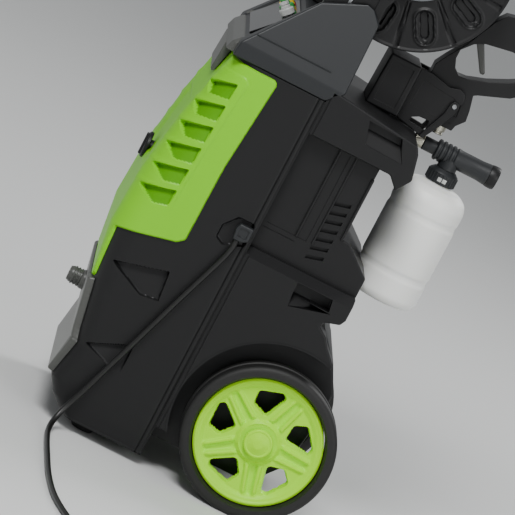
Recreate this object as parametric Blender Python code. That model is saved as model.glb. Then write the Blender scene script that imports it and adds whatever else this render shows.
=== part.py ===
"""Upright electric pressure washer with a hose reel, a spray gun and a foam cannon, as an assembly of solids.

Metres, +Z up. The front faces -Y and the machine's right side is +X. The origin is on the ground under the
middle of the machine.
"""

import math

import bmesh
import bpy
from mathutils import Matrix, Vector

# Clearances
FIXED_GAP = 0.0005      # between pieces that are fixed to each other
RUN_GAP = 0.0003        # radial, between a shaft and its hole
FREE_GAP = 0.0010       # between a piece that lifts out and its seat

# Case
CASE_WIDTH = 0.280
CASE_BOTTOM = 0.014     # the feet raise the case by this much
CASE_TOP = 0.542        # at the seam, where the top cover starts
SEAM_Y = -0.036         # the plane where the front and rear shells meet
WALL = 0.003
COVER_THICKNESS = 0.0035
BUMPER_THICKNESS = 0.008
SLOPE_FRONT_DROP = 0.018    # how much lower the case's top is at the front

# Rear shell
CORE_WIDTH = 0.208      # the part between the wheels
CORE_BOTTOM = 0.037
APRON_REAR = 0.149      # the core's bulge behind the wheels
WAIST_WIDTH = 0.232     # the recessed part above the wheels
WAIST_REAR = 0.066
WAIST_BOTTOM = 0.317
BLOCK_BOTTOM = 0.484
BLOCK_REAR = 0.106
BUMPER_REAR = 0.115
BUMPER_BOTTOM = 0.280
ARCH_CLEARANCE = 0.022

# Wheels
WHEEL_RADIUS = 0.100
WHEEL_Y = 0.088
TYRE_WIDTH = 0.044
TYRE_HEIGHT = 0.017
TRACK_OUTSIDE = 0.316   # over the tyres
RIM_WALL = 0.005
SPOKES = 5
HUB_RADIUS = 0.022
HUB_CAP_RADIUS = 0.019
AXLE_RADIUS = 0.008

# Top cover, uprights and handle
COVER_RISE = 0.112      # height of the top cover's sides above the case
CONSOLE_RISE = 0.062    # height of the deck under the reel above the case
UPRIGHT_INSIDE = 0.084  # from the middle plane to an upright's inner face
UPRIGHT_THICKNESS = 0.024
UPRIGHT_RISE = 0.258    # height of the uprights above the case
UPRIGHT_FRONT = -0.094
UPRIGHT_REAR = -0.0195
LEG_RADIUS = 0.009
LEG_Y = -0.064
LEG_OVERLAP = 0.240     # length of leg below an upright's top with the handle down
HANDLE_RISE = 0.358     # height of the crossbar's centre above the case
GRIP_RADIUS = 0.014
GRIP_LENGTH = 0.110
BUTTON_RADIUS = 0.007
BUTTON_TRAVEL = 0.003

# Reel
REEL_RADIUS = 0.1225
REEL_RISE = 0.194       # height of the reel's axis above the case
REEL_Y = -0.008
REEL_WIDTH = 0.160      # over the flanges
FLANGE_THICKNESS = 0.0077
DRUM_RADIUS = 0.045
REEL_SHAFT_RADIUS = 0.010
BEARING_RADIUS = 0.028
HOSE_RADIUS = 0.100     # outside of the wound hose
CRANK_REACH = 0.085
CRANK_THICKNESS = 0.008
CRANK_KNOB_RADIUS = 0.012
CRANK_KNOB_LENGTH = 0.032

# Spray gun and its holder
GUN_WIDTH = 0.034
GUN_BARREL_Y = 0.119
HOLDER_WIDTH = 0.084
HOLDER_FRONT = 0.016
HOLDER_BACK = 0.062
CHEEK_THICKNESS = 0.007
TRIGGER_WIDTH = 0.012

# Foam cannon
BOTTLE_RADIUS = 0.048
BOTTLE_Y = 0.153
BOTTLE_BOTTOM = 0.312
BOTTLE_WALL = 0.0018
CANNON_DROP = 0.025     # height of the cannon's axis below the case's top
CANNON_RADIUS = 0.0144
CANNON_FRONT = 0.129
CANNON_REAR = 0.2174
NOZZLE_TIP_LENGTH = 0.013
PLUG_RADIUS = 0.0065

# Drive
DRIVE_Y = -0.062
MOTOR_RADIUS = 0.052
MOTOR_LENGTH = 0.150
PUMP_SIZE = 0.096
PUMP_HEIGHT = 0.078
TRAY_TOP = 0.064
TRAY_THICKNESS = 0.004
PISTONS = 3
PISTON_RADIUS = 0.007

# Front fittings
INLET_Z = 0.157
INLET_RADIUS = 0.013
SWITCH_Z = 0.352
SWITCH_RADIUS = 0.018
BAND_WIDTH = 0.224
TONGUE_WIDTH = 0.120
SPRAY_NOZZLES = 4
SPRAY_NOZZLE_PITCH = 0.040
SPRAY_NOZZLE_ROW = 0.018    # up the slope from its middle

# Mains lead
LEAD_DIAMETER = 0.0075
GLAND_Y = -0.052
GLAND_Z = 0.330
GLAND_SIZE = 0.022
LEAD_PITCH = 0.0076
COIL_TURN_DIAMETER = 0.095
COIL_TURNS_ACROSS = 5
COIL_TURNS_HIGH = 3
COIL_CENTRE = (0.660, 0.030)
PLUG_LENGTH = 0.046
PLUG_WIDTH = 0.034
PLUG_HEIGHT = 0.026
CORD_GAP = 0.0003
FLOOR_GAP = 0.0005
# The lead's route from the gland to the coil, chosen by hand.
LEAD_ROUTE = [
    (0.1465, -0.0550, 0.3187), (0.1466, -0.0556, 0.3080), (0.1470, -0.0590, 0.2930), (0.1480, -0.0690, 0.2640),
    (0.1480, -0.0860, 0.2150), (0.1485, -0.1050, 0.1580), (0.1495, -0.1240, 0.1020), (0.1520, -0.1400, 0.0560),
    (0.1575, -0.1510, 0.0280), (0.1700, -0.1565, 0.0110), (0.1950, -0.1580, 0.0045), (0.2400, -0.1565, 0.0042),
    (0.3000, -0.1525, 0.0042), (0.4000, -0.1440, 0.0042), (0.4850, -0.1290, 0.0042), (0.5600, -0.1000, 0.0042),
    (0.6280, -0.0572, 0.0042), (0.6842, -0.0363, 0.0042),
]

SEGMENTS = 32
SMALL_SEGMENTS = 16
CORNER_STEPS = 4

HALF_WIDTH = CASE_WIDTH / 2
ARCH_RADIUS = WHEEL_RADIUS + ARCH_CLEARANCE
CASE_FRONT_TOP = CASE_TOP - SLOPE_FRONT_DROP
WHEEL_CENTRE = Vector((0, WHEEL_Y, WHEEL_RADIUS))
REEL_CENTRE = Vector((0, REEL_Y, CASE_TOP + REEL_RISE))
CANNON_Z = CASE_TOP - CANNON_DROP
DECK_TOP = CASE_TOP + CONSOLE_RISE
UPRIGHT_OUTSIDE = UPRIGHT_INSIDE + UPRIGHT_THICKNESS
LEG_X = UPRIGHT_INSIDE + UPRIGHT_THICKNESS / 2

# The front shell's sections, bottom to top: height, front face, half width and corner radius.
FRONT_LEVELS = [
    (CASE_BOTTOM, -0.148, HALF_WIDTH - 0.004, 0.016),
    (0.036, -0.172, HALF_WIDTH - 0.001, 0.020),
    (0.056, -0.184, HALF_WIDTH, 0.022),
    (0.108, -0.176, HALF_WIDTH, 0.022),
    (0.190, -0.192, HALF_WIDTH, 0.030),
    (0.262, -0.201, HALF_WIDTH, 0.036),
    (0.340, -0.197, HALF_WIDTH, 0.040),
    (0.428, -0.183, HALF_WIDTH, 0.040),
    (CASE_FRONT_TOP, -0.158, HALF_WIDTH, 0.036),
]


# ---------------------------------------------------------------- scene and materials
def clear_scene():
    for obj in list(bpy.data.objects):
        bpy.data.objects.remove(obj, do_unlink=True)


def material(name, color, roughness=0.5, metallic=0.0):
    """A Principled material; color is linear RGB."""
    mat = bpy.data.materials.new(name)
    mat.use_nodes = True
    shader = mat.node_tree.nodes["Principled BSDF"]
    shader.inputs["Base Color"].default_value = (*color, 1)
    shader.inputs["Roughness"].default_value = roughness
    shader.inputs["Metallic"].default_value = metallic
    mat.diffuse_color = (*color, 1)
    return mat


clear_scene()
BLACK = material("black_plastic", (0.016, 0.016, 0.018), 0.5)
GREY = material("dark_grey_plastic", (0.060, 0.062, 0.065), 0.45)
TRIM = material("charcoal_trim", (0.110, 0.112, 0.110), 0.4)
GLOSS = material("gloss_black", (0.008, 0.009, 0.010), 0.12)
GREEN = material("green_panel", (0.440, 0.720, 0.075), 0.4)
LIME = material("lime_wheel", (0.660, 0.880, 0.110), 0.4)
RUBBER = material("rubber", (0.030, 0.030, 0.029), 0.8)
STEEL = material("zinc_steel", (0.560, 0.570, 0.580), 0.35, 1.0)
BRASS = material("nickel_brass", (0.620, 0.600, 0.520), 0.3, 1.0)
ALUMINIUM = material("cast_aluminium", (0.520, 0.530, 0.540), 0.5, 1.0)
COPPER = material("motor_steel", (0.300, 0.310, 0.320), 0.45, 1.0)
BOTTLE = material("white_polyethylene", (0.760, 0.770, 0.740), 0.45)
LEAD = material("pvc_lead", (0.020, 0.020, 0.020), 0.45)


# ---------------------------------------------------------------- shape helpers
def arc(centre, radius, start_deg, end_deg, steps):
    """Points of an arc in a plane, from one angle to the other."""
    points = []
    for step in range(steps + 1):
        angle = math.radians(start_deg + (end_deg - start_deg) * step / steps)
        points.append((centre[0] + radius * math.cos(angle), centre[1] + radius * math.sin(angle)))
    return points


def inset(outline, distance):
    """The outline moved inwards by a distance, whichever way round it runs."""
    count = len(outline)
    area = sum(outline[i][0] * outline[(i + 1) % count][1] - outline[(i + 1) % count][0] * outline[i][1]
               for i in range(count))
    side = distance if area > 0 else -distance
    moved = []
    for i in range(count):
        here = Vector(outline[i])
        before = (here - Vector(outline[i - 1])).normalized()
        after = (Vector(outline[(i + 1) % count]) - here).normalized()
        normal = Vector((-before.y - after.y, before.x + after.x))
        normal.normalize()
        share = max(0.35, normal.dot(Vector((-before.y, before.x))))
        moved.append(tuple(here + normal * (side / share)))
    return moved


def loft(rings):
    """A closed solid through rings of points that all have the same count."""
    bm = bmesh.new()
    loops = [[bm.verts.new(point) for point in ring] for ring in rings]
    count = len(loops[0])
    for lower, upper in zip(loops, loops[1:]):
        for i in range(count):
            j = (i + 1) % count
            bm.faces.new((lower[i], lower[j], upper[j], upper[i]))
    bm.faces.new(loops[0])
    bm.faces.new(loops[-1])
    bmesh.ops.recalc_face_normals(bm, faces=bm.faces)
    return bm


def prism(outline, low, high):
    """A (y, z) outline run along X from low to high."""
    return loft([[(x, y, z) for y, z in outline] for x in (low, high)])


def block(low, high):
    """A box between two corners."""
    outline = [(low[1], low[2]), (high[1], low[2]), (high[1], high[2]), (low[1], high[2])]
    return prism(outline, low[0], high[0])


def turned(profile, centre, axis="X", segments=SEGMENTS, closed=True):
    """A solid of revolution. The profile holds (radius, distance along the axis); a closed one is a ring."""
    along = Vector([float(axis == letter) for letter in "XYZ"]) if isinstance(axis, str) else axis.normalized()
    side = along.orthogonal().normalized()
    up = along.cross(side)
    bm = bmesh.new()
    rings = []
    for radius, offset in profile:
        middle = Vector(centre) + along * offset
        if radius == 0:
            rings.append([bm.verts.new(middle)])
            continue
        turns = [math.tau * (i + 0.5) / segments for i in range(segments)]
        rings.append([bm.verts.new(middle + (side * math.cos(a) + up * math.sin(a)) * radius) for a in turns])
    pairs = list(zip(rings, rings[1:]))
    if closed:
        pairs.append((rings[-1], rings[0]))
    for first, second in pairs:
        for i in range(segments):
            j = (i + 1) % segments
            corners = [first[i % len(first)], first[j % len(first)], second[j % len(second)], second[i % len(second)]]
            corners = list(dict.fromkeys(corners))
            if len(corners) > 2:
                bm.faces.new(corners)
    bmesh.ops.recalc_face_normals(bm, faces=bm.faces)
    return bm


def rod(radius, low, high, centre, axis="X", segments=SMALL_SEGMENTS):
    """A plain cylinder between two distances along an axis."""
    return turned([(0, low), (radius, low), (radius, high), (0, high)], centre, axis, segments, closed=False)


def smooth_route(route, spacing):
    """Evenly spaced points on a Catmull-Rom curve through the route's points."""
    points = [Vector(p) for p in route]
    points = [points[0] * 2 - points[1], *points, points[-1] * 2 - points[-2]]
    fine = []
    steps = 24
    for a, b, c, d in zip(points, points[1:], points[2:], points[3:]):
        for step in range(steps):
            t = step / steps
            fine.append(0.5 * (2 * b + (c - a) * t + (2 * a - 5 * b + 4 * c - d) * t * t
                               + (3 * b - a - 3 * c + d) * t ** 3))
    fine.append(points[-2])
    length = sum((q - p).length for p, q in zip(fine, fine[1:]))
    count = max(2, round(length / spacing))
    wanted = [length * i / count for i in range(count)]
    placed = []
    walked = 0.0
    for p, q in zip(fine, fine[1:]):
        span = (q - p).length
        while len(placed) < count and wanted[len(placed)] <= walked + span:
            placed.append(p.lerp(q, (wanted[len(placed)] - walked) / span))
        walked += span
    placed.append(fine[-1])
    return placed


# ---------------------------------------------------------------- object helpers
def place(name, bm, mat, origin=(0, 0, 0), smooth=True):
    """An object made of a world-space bmesh, with its origin where asked."""
    bmesh.ops.translate(bm, verts=bm.verts, vec=-Vector(origin))
    mesh = bpy.data.meshes.new(name)
    bm.to_mesh(mesh)
    bm.free()
    if smooth:
        mesh.shade_smooth()
        mesh.set_sharp_from_angle(angle=math.radians(30))
    mesh.materials.append(mat)
    obj = bpy.data.objects.new(name, mesh)
    obj.location = origin
    bpy.context.scene.collection.objects.link(obj)
    return obj


def helper(bm):
    """A hidden solid that a Boolean uses."""
    mesh = bpy.data.meshes.new("helper")
    bm.to_mesh(mesh)
    bm.free()
    obj = bpy.data.objects.new("helper", mesh)
    obj.hide_render = True
    obj.display_type = "WIRE"
    bpy.context.scene.collection.objects.link(obj)
    return obj


def combine(obj, operation, *shapes):
    """Adds one exact Boolean for each shape."""
    for shape in shapes:
        modifier = obj.modifiers.new(operation.lower(), "BOOLEAN")
        modifier.operation = operation
        modifier.solver = "EXACT"
        modifier.object = helper(shape)
    return obj


def pipe(name, route, diameter, mat, spacing):
    """A round pipe along a smooth route, as a curve with a bevel and filled caps."""
    curve = bpy.data.curves.new(name, "CURVE")
    curve.dimensions = "3D"
    curve.bevel_depth = diameter / 2
    curve.bevel_resolution = 2
    curve.use_fill_caps = True
    points = smooth_route(route, spacing)
    spline = curve.splines.new("POLY")
    spline.points.add(len(points) - 1)
    for point, where in zip(spline.points, points):
        point.co = (*where, 1)
    curve.materials.append(mat)
    obj = bpy.data.objects.new(name, curve)
    bpy.context.scene.collection.objects.link(obj)
    return obj


# ---------------------------------------------------------------- case
def section(z, front, half, radius, back):
    """One U-shaped horizontal section of the case, closed across its back."""
    points = [(half, back)]
    points += arc((half - radius, front + radius), radius, 0, -90, CORNER_STEPS)
    points += arc((-half + radius, front + radius), radius, -90, -180, CORNER_STEPS)
    points.append((-half, back))
    return [(x, y, z) for x, y in points]


def front_body(offset, back, low=None, high=None):
    """The front shell's lofted body, moved outwards by offset, between two heights."""
    rings = []
    for z, front, half, radius in FRONT_LEVELS:
        rings.append(section(z, front - offset, half + offset, radius + offset, back))
    first = FRONT_LEVELS[0] if low is None else (low, *FRONT_LEVELS[0][1:])
    last = FRONT_LEVELS[-1] if high is None else (high, *FRONT_LEVELS[-1][1:])
    for index, level in ((0, first), (-1, last)):
        z, front, half, radius = level
        rings[index] = section(z, front - offset, half + offset, radius + offset, back)
    return loft(rings)


def front_shell():
    back = SEAM_Y - FIXED_GAP / 2
    shell = place("front_shell", front_body(0, back), BLACK)
    cavity = front_body(-WALL, SEAM_Y + 0.01, CASE_BOTTOM + WALL, CASE_FRONT_TOP - WALL)
    inlet_hole = rod(INLET_RADIUS + FIXED_GAP, -0.05, 0.05, (0, FRONT_LEVELS[4][1], INLET_Z), "Y")
    switch_hole = rod(SWITCH_RADIUS * 0.5, -0.05, 0.05, (0, FRONT_LEVELS[6][1], SWITCH_Z), "Y")
    x = HALF_WIDTH + 0.02
    gland_hole = block((HALF_WIDTH - 0.02, GLAND_Y - 0.005, GLAND_Z - 0.005), (x, GLAND_Y + 0.005, GLAND_Z + 0.005))
    return combine(shell, "DIFFERENCE", cavity, inlet_hole, switch_hole, gland_hole)


def front_cover():
    """The green wrap: over the whole front, and as a flap on each side above the bottom corner."""
    top = CASE_FRONT_TOP - 0.004
    low = 0.190 + FIXED_GAP
    outline = [(-0.240, low), (-0.1990, low), (-0.2000, 0.262), (-0.120, 0.281), (-0.111, 0.291), (-0.1105, 0.343),
               (-0.1095, 0.394), (-0.099, top - 0.010), (-0.106, top), (-0.240, top)]
    cover = place("front_cover", front_body(FIXED_GAP + COVER_THICKNESS, SEAM_Y), GREEN)
    combine(cover, "INTERSECT", prism(outline, -0.2, 0.2))
    window = rod(SWITCH_RADIUS * 0.5, -0.05, 0.05, (0, FRONT_LEVELS[6][1], SWITCH_Z), "Y")
    return combine(cover, "DIFFERENCE", front_body(FIXED_GAP, SEAM_Y + 0.01), window)


def front_bumper():
    """The charcoal trim down the lower front, below the green cover."""
    low, high = 0.030, 0.190 - FIXED_GAP
    outline = [(-0.240, low), (-0.163, low), (-0.172, 0.056), (-0.162, 0.108), (-0.182, high), (-0.240, high)]
    bumper = place("front_bumper", front_body(FIXED_GAP + BUMPER_THICKNESS, SEAM_Y), TRIM)
    combine(bumper, "INTERSECT", prism(outline, -0.2, 0.2))
    hole = rod(INLET_RADIUS + FIXED_GAP, -0.05, 0.05, (0, FRONT_LEVELS[4][1], INLET_Z), "Y")
    return combine(bumper, "DIFFERENCE", front_body(FIXED_GAP, SEAM_Y + 0.01), hole)


def rear_outlines():
    """The rear shell's side outlines as (outline, half width): core, waist, block and lower cheeks."""
    front = SEAM_Y + FIXED_GAP / 2
    core = [(front, CORE_BOTTOM), (APRON_REAR - 0.045, CORE_BOTTOM), (APRON_REAR - 0.012, CORE_BOTTOM + 0.040),
            (APRON_REAR, 0.150), (APRON_REAR, 0.190), (APRON_REAR - 0.018, 0.225), (0.100, 0.262),
            (0.094, 0.272), (BUMPER_REAR - 0.005, BUMPER_BOTTOM), (BUMPER_REAR - 0.005, WAIST_BOTTOM),
            (WAIST_REAR, WAIST_BOTTOM + 0.02), (WAIST_REAR, BLOCK_BOTTOM + 0.02), (front, BLOCK_BOTTOM + 0.02)]
    waist = [(front, WAIST_BOTTOM - 0.01), (BUMPER_REAR, WAIST_BOTTOM - 0.01), (BUMPER_REAR, WAIST_BOTTOM + 0.026),
             (WAIST_REAR + 0.011, WAIST_BOTTOM + 0.057), (WAIST_REAR, WAIST_BOTTOM + 0.058),
             (WAIST_REAR, BLOCK_BOTTOM + 0.01), (front, BLOCK_BOTTOM + 0.01)]
    top_rear = CASE_TOP - 0.015
    upper = [(front, BLOCK_BOTTOM), (0.078, BLOCK_BOTTOM), (0.0925, BLOCK_BOTTOM - 0.020), (BLOCK_REAR, BLOCK_BOTTOM),
             (BLOCK_REAR - 0.008, top_rear - 0.010), (0.0925, top_rear), (front, CASE_TOP)]
    arch_middle = (WHEEL_CENTRE.y + 0.004, WHEEL_CENTRE.z + 0.007)
    lower = [(front, CORE_BOTTOM + 0.02), (WHEEL_CENTRE.y, CORE_BOTTOM + 0.02), (APRON_REAR - 0.021, 0.229),
             (0.1115, 0.246), (0.103, 0.258), (0.090, 0.267), (0.0915, 0.274), (BUMPER_REAR - 0.004, BUMPER_BOTTOM),
             (BUMPER_REAR, BUMPER_BOTTOM + 0.008), (BUMPER_REAR, WAIST_BOTTOM), (front, WAIST_BOTTOM)]
    return {"core": (core, CORE_WIDTH / 2), "waist": (waist, WAIST_WIDTH / 2),
            "upper": (upper, HALF_WIDTH), "lower": (lower, HALF_WIDTH)}, arch_middle


def rear_shell():
    outlines, arch_middle = rear_outlines()
    core, core_half = outlines["core"]
    shell = place("rear_shell", prism(core, -core_half, core_half), BLACK)
    for key in ("waist", "upper", "lower"):
        outline, half = outlines[key]
        combine(shell, "UNION", prism(outline, -half, half))
    for side in (1, -1):
        low, high = sorted((side * core_half, side * (HALF_WIDTH + 0.02)))
        combine(shell, "DIFFERENCE", rod(ARCH_RADIUS, low, high, (0, *arch_middle), "X", SEGMENTS))
    for key, (outline, half) in outlines.items():
        if key == "lower":
            continue
        hollow = inset(outline, WALL)
        opened = [(y - 0.010 if y < SEAM_Y + 2 * WALL else y, z) for y, z in hollow]
        combine(shell, "DIFFERENCE", prism(opened, -half + WALL, half - WALL))
    pocket = rod(BOTTLE_RADIUS + 2 * FREE_GAP, BOTTLE_BOTTOM - FREE_GAP, CASE_TOP, (0, BOTTLE_Y, 0), "Z", SEGMENTS)
    slot = block((-0.019, WAIST_REAR + 0.004, CANNON_Z - 0.022), (0.019, BLOCK_REAR + 0.02, CASE_TOP + 0.02))
    axle_hole = rod(AXLE_RADIUS + RUN_GAP, -0.2, 0.2, WHEEL_CENTRE)
    return combine(shell, "DIFFERENCE", pocket, slot, axle_hole)


def base_tray():
    """The chassis plate that carries the pump, inside both shells."""
    half = CORE_WIDTH / 2 - 2 * WALL
    tray = block((-half, -0.150, TRAY_TOP - TRAY_THICKNESS), (half, AXLE_RADIUS + 0.050, TRAY_TOP))
    return place("base_tray", tray, STEEL)


def feet():
    for name, side in (("foot_right", 1), ("foot_left", -1)):
        x, y = side * 0.085, -0.115
        profile = [(0, 0), (0.014, 0), (0.017, 0.004), (0.017, CASE_BOTTOM - FIXED_GAP), (0, CASE_BOTTOM - FIXED_GAP)]
        place(name, turned(profile, (x, y, 0), "Z", SMALL_SEGMENTS, closed=False), RUBBER)


# ---------------------------------------------------------------- wheels
def wheels():
    place("wheel_axle", rod(AXLE_RADIUS, -TRACK_OUTSIDE / 2 + 0.009, TRACK_OUTSIDE / 2 - 0.009, WHEEL_CENTRE), STEEL,
          WHEEL_CENTRE)
    rim_radius = WHEEL_RADIUS - TYRE_HEIGHT
    outer = TRACK_OUTSIDE / 2
    inner = outer - TYRE_WIDTH
    disc = outer - 0.016
    face = disc + 0.008
    for side, word in ((1, "right"), (-1, "left")):
        crown = WHEEL_RADIUS
        tyre = [(rim_radius + FIXED_GAP, inner), (crown - 0.005, inner), (crown, inner + 0.007),
                (crown, outer - 0.007), (crown - 0.005, outer), (rim_radius + FIXED_GAP, outer)]
        place(f"tyre_{word}", turned([(r, side * x) for r, x in tyre], WHEEL_CENTRE), RUBBER, WHEEL_CENTRE)
        bore = AXLE_RADIUS + RUN_GAP
        rim = [(bore, inner - 0.002), (HUB_RADIUS, inner - 0.002), (HUB_RADIUS, disc), (rim_radius - RIM_WALL, disc),
               (rim_radius - RIM_WALL, inner + 0.002), (rim_radius, inner + 0.002), (rim_radius, outer - 0.002),
               (rim_radius - RIM_WALL, outer - 0.002), (rim_radius - RIM_WALL, face), (HUB_RADIUS, face),
               (HUB_RADIUS, face + 0.002), (bore, face + 0.002)]
        wheel = place(f"rim_{word}", turned([(r, side * x) for r, x in rim], WHEEL_CENTRE), LIME, WHEEL_CENTRE)
        for spoke in range(SPOKES):
            middle = math.radians(34 + spoke * 360 / SPOKES)
            window = [(0.036, -6), (0.050, 14), (0.063, 10), (0.0695, -5), (0.069, -19), (0.050, -17)]
            corners = [(WHEEL_CENTRE.y + r * math.cos(middle + math.radians(d)),
                        WHEEL_CENTRE.z + r * math.sin(middle + math.radians(d))) for r, d in window]
            low, high = sorted((side * (disc - 0.004), side * (face + 0.004)))
            combine(wheel, "DIFFERENCE", prism(corners, low, high))
        cap = [(0, face + 0.0025), (HUB_CAP_RADIUS, face + 0.0025), (HUB_CAP_RADIUS, face + 0.006),
               (HUB_CAP_RADIUS - 0.005, face + 0.0095), (0, face + 0.0105)]
        cap = [(r, side * x) for r, x in cap]
        place(f"hub_cap_{word}", turned(cap, WHEEL_CENTRE, closed=False), LIME, WHEEL_CENTRE)


# ---------------------------------------------------------------- top cover, console and uprights
def console_line():
    """The console's slope in side view: its lower and upper ends."""
    return (-0.160, CASE_TOP + 0.004), (-0.104, DECK_TOP)


def top_cover():
    """The dark cover between the case and the reel: raised sides, a sloping console and a flat deck."""
    base = CASE_TOP + FIXED_GAP
    front_low = CASE_FRONT_TOP + FIXED_GAP
    back = -0.0185
    side = [(-0.166, front_low), (-0.164, CASE_TOP + 0.002), (-0.108, CASE_TOP + 0.070), (-0.096, CASE_TOP + 0.088),
            (-0.040, CASE_TOP + COVER_RISE), (-0.030, CASE_TOP + COVER_RISE - 0.004), (back, CASE_TOP + 0.094),
            (back, base), (SEAM_Y, base), (SEAM_Y - 0.002, front_low)]
    cover = place("top_cover", prism(side, -HALF_WIDTH, HALF_WIDTH), GREY)
    lean = 0.030
    high = CASE_TOP + COVER_RISE
    for s in (1, -1):
        wedge = [(s * HALF_WIDTH, base + 0.004), (s * (HALF_WIDTH + 0.03), base + 0.004),
                 (s * (HALF_WIDTH + 0.03), high + 0.03), (s * (HALF_WIDTH - lean * 1.25), high + 0.03)]
        rings = [[(x, y, z) for x, z in wedge] for y in (-0.25, 0.1)]
        combine(cover, "DIFFERENCE", loft(rings))
    (y0, z0), (y1, z1) = console_line()
    well = [(y0 - 0.03, z0 - 0.03 * (z1 - z0) / (y1 - y0)), (y1, z1), (back + 0.02, z1), (back + 0.02, high + 0.05),
            (y0 - 0.03, high + 0.05)]
    combine(cover, "DIFFERENCE", prism(well, -UPRIGHT_OUTSIDE - FIXED_GAP, UPRIGHT_OUTSIDE + FIXED_GAP))
    hollow = [(-0.150, front_low - 0.02), (-0.150, CASE_TOP), (y1, DECK_TOP - 2 * WALL), (back - WALL, DECK_TOP - 2 * WALL),
              (back - WALL, front_low - 0.02)]
    leg_holes = [rod(LEG_RADIUS + 2 * FIXED_GAP, base, DECK_TOP + 0.01, (s * LEG_X, LEG_Y, 0), "Z") for s in (1, -1)]
    band = [(-0.1660, front_low), (-0.1765, front_low - 0.001), (-0.1725, front_low + 0.011), (y0 - 0.0025, z0),
            (y0 + 0.010, z0), (y0 + 0.010, front_low)]
    tongue = [(-0.1732, front_low - 0.0395), (-0.1765, front_low - 0.0415), (-0.1790, front_low - 0.038),
              (-0.1765, front_low + 0.0005), (-0.1600, front_low + 0.0005), (-0.1645, front_low - 0.004)]
    combine(cover, "UNION", prism(band, -BAND_WIDTH / 2, BAND_WIDTH / 2))
    combine(cover, "UNION", prism(tongue, -TONGUE_WIDTH / 2, TONGUE_WIDTH / 2))
    return combine(cover, "DIFFERENCE", prism(hollow, -HALF_WIDTH + 0.014, HALF_WIDTH - 0.014), *leg_holes,
                   *[console_slot(x) for x in spray_nozzle_places()])


def console_frame():
    """The console's slope direction, its outward normal and its middle."""
    (y0, z0), (y1, z1) = console_line()
    along = Vector((0, y1 - y0, z1 - z0)).normalized()
    normal = Vector((0, -along.z, along.y))
    return along, normal, Vector((0, (y0 + y1) / 2, (z0 + z1) / 2))


def spray_nozzle_places():
    return [(i - (SPRAY_NOZZLES - 1) / 2) * SPRAY_NOZZLE_PITCH for i in range(SPRAY_NOZZLES)]


def console_slot(x):
    """The hole that a spray nozzle's stem stands in."""
    along, normal, middle = console_frame()
    return rod(0.0062 + FREE_GAP, -0.030, 0.030, middle + along * SPRAY_NOZZLE_ROW + Vector((x, 0, 0)), normal)


def console_panel():
    """The gloss panel on the console's slope."""
    along, normal, middle = console_frame()
    half_length = 0.034
    half = UPRIGHT_INSIDE + 0.008
    low = normal * FIXED_GAP
    high = normal * (FIXED_GAP + 0.003)
    rings = []
    for x in (-half, half):
        rings.append([middle + Vector((x, 0, 0)) + p for p in (-along * half_length + low, along * half_length + low,
                                                                  along * half_length + high, -along * half_length + high)])
    panel = place("console_panel", loft(rings), GLOSS)
    return combine(panel, "DIFFERENCE", *[console_slot(x) for x in spray_nozzle_places()])


def spray_nozzles():
    """Quick-connect spray nozzles standing in the console."""
    along, normal, middle = console_frame()
    colours = [(0.55, 0.03, 0.03), (0.70, 0.55, 0.03), (0.05, 0.30, 0.08), (0.55, 0.55, 0.54)]
    for number, x in enumerate(spray_nozzle_places(), start=1):
        seat = FIXED_GAP + 0.003
        profile = [(0, -0.010), (0.0062, -0.010), (0.0062, seat + FREE_GAP), (0.0095, seat + FREE_GAP),
                   (0.0095, seat + 0.009), (0.0062, seat + 0.009), (0.0062, seat + 0.018), (0, seat + 0.018)]
        mat = material(f"nozzle_{number}", colours[number - 1], 0.4)
        origin = middle + along * SPRAY_NOZZLE_ROW + Vector((x, 0, 0))
        place(f"spray_nozzle_{number}", turned(profile, origin, normal, SMALL_SEGMENTS, closed=False), mat, origin)


def uprights():
    """The two uprights beside the reel: they carry its bearings and guide the handle's legs."""
    foot = DECK_TOP + FIXED_GAP
    top = CASE_TOP + UPRIGHT_RISE
    bearing = (REEL_CENTRE.y, REEL_CENTRE.z)
    outline = [(UPRIGHT_FRONT, foot), (UPRIGHT_FRONT, REEL_CENTRE.z - 0.03), (UPRIGHT_FRONT + 0.010, top),
               (LEG_Y + 0.022, top), (LEG_Y + 0.030, top - 0.030), *arc(bearing, BEARING_RADIUS, 100, -100, 8),
               (UPRIGHT_REAR, REEL_CENTRE.z - BEARING_RADIUS - 0.012), (UPRIGHT_REAR, foot)]
    for side, word in ((1, "right"), (-1, "left")):
        low, high = sorted((side * UPRIGHT_INSIDE, side * UPRIGHT_OUTSIDE))
        upright = place(f"upright_{word}", prism(outline, low, high), BLACK)
        boss_low, boss_high = sorted((side * (UPRIGHT_OUTSIDE - 0.002), side * (UPRIGHT_OUTSIDE + 0.004)))
        button = (0, LEG_Y, top - 0.032)
        combine(upright, "UNION", rod(BUTTON_RADIUS + 0.005, boss_low, boss_high, button, "X"))
        bore = rod(LEG_RADIUS + RUN_GAP, foot - 0.01, top + 0.02, (side * LEG_X, LEG_Y, 0), "Z")
        low, high = sorted((side * LEG_X, side * (UPRIGHT_OUTSIDE + 0.02)))
        button_hole = rod(BUTTON_RADIUS + RUN_GAP, low, high, button, "X")
        bearing_hole = rod(REEL_SHAFT_RADIUS + RUN_GAP, -0.2, 0.2, REEL_CENTRE)
        combine(upright, "DIFFERENCE", bore, bearing_hole, button_hole)
        start = UPRIGHT_OUTSIDE + 0.0010
        low, high = sorted((side * start, side * (start + 0.007)))
        place(f"lock_button_{word}", rod(BUTTON_RADIUS, low, high, button, "X"), TRIM, (side * start, *button[1:]))


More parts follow.
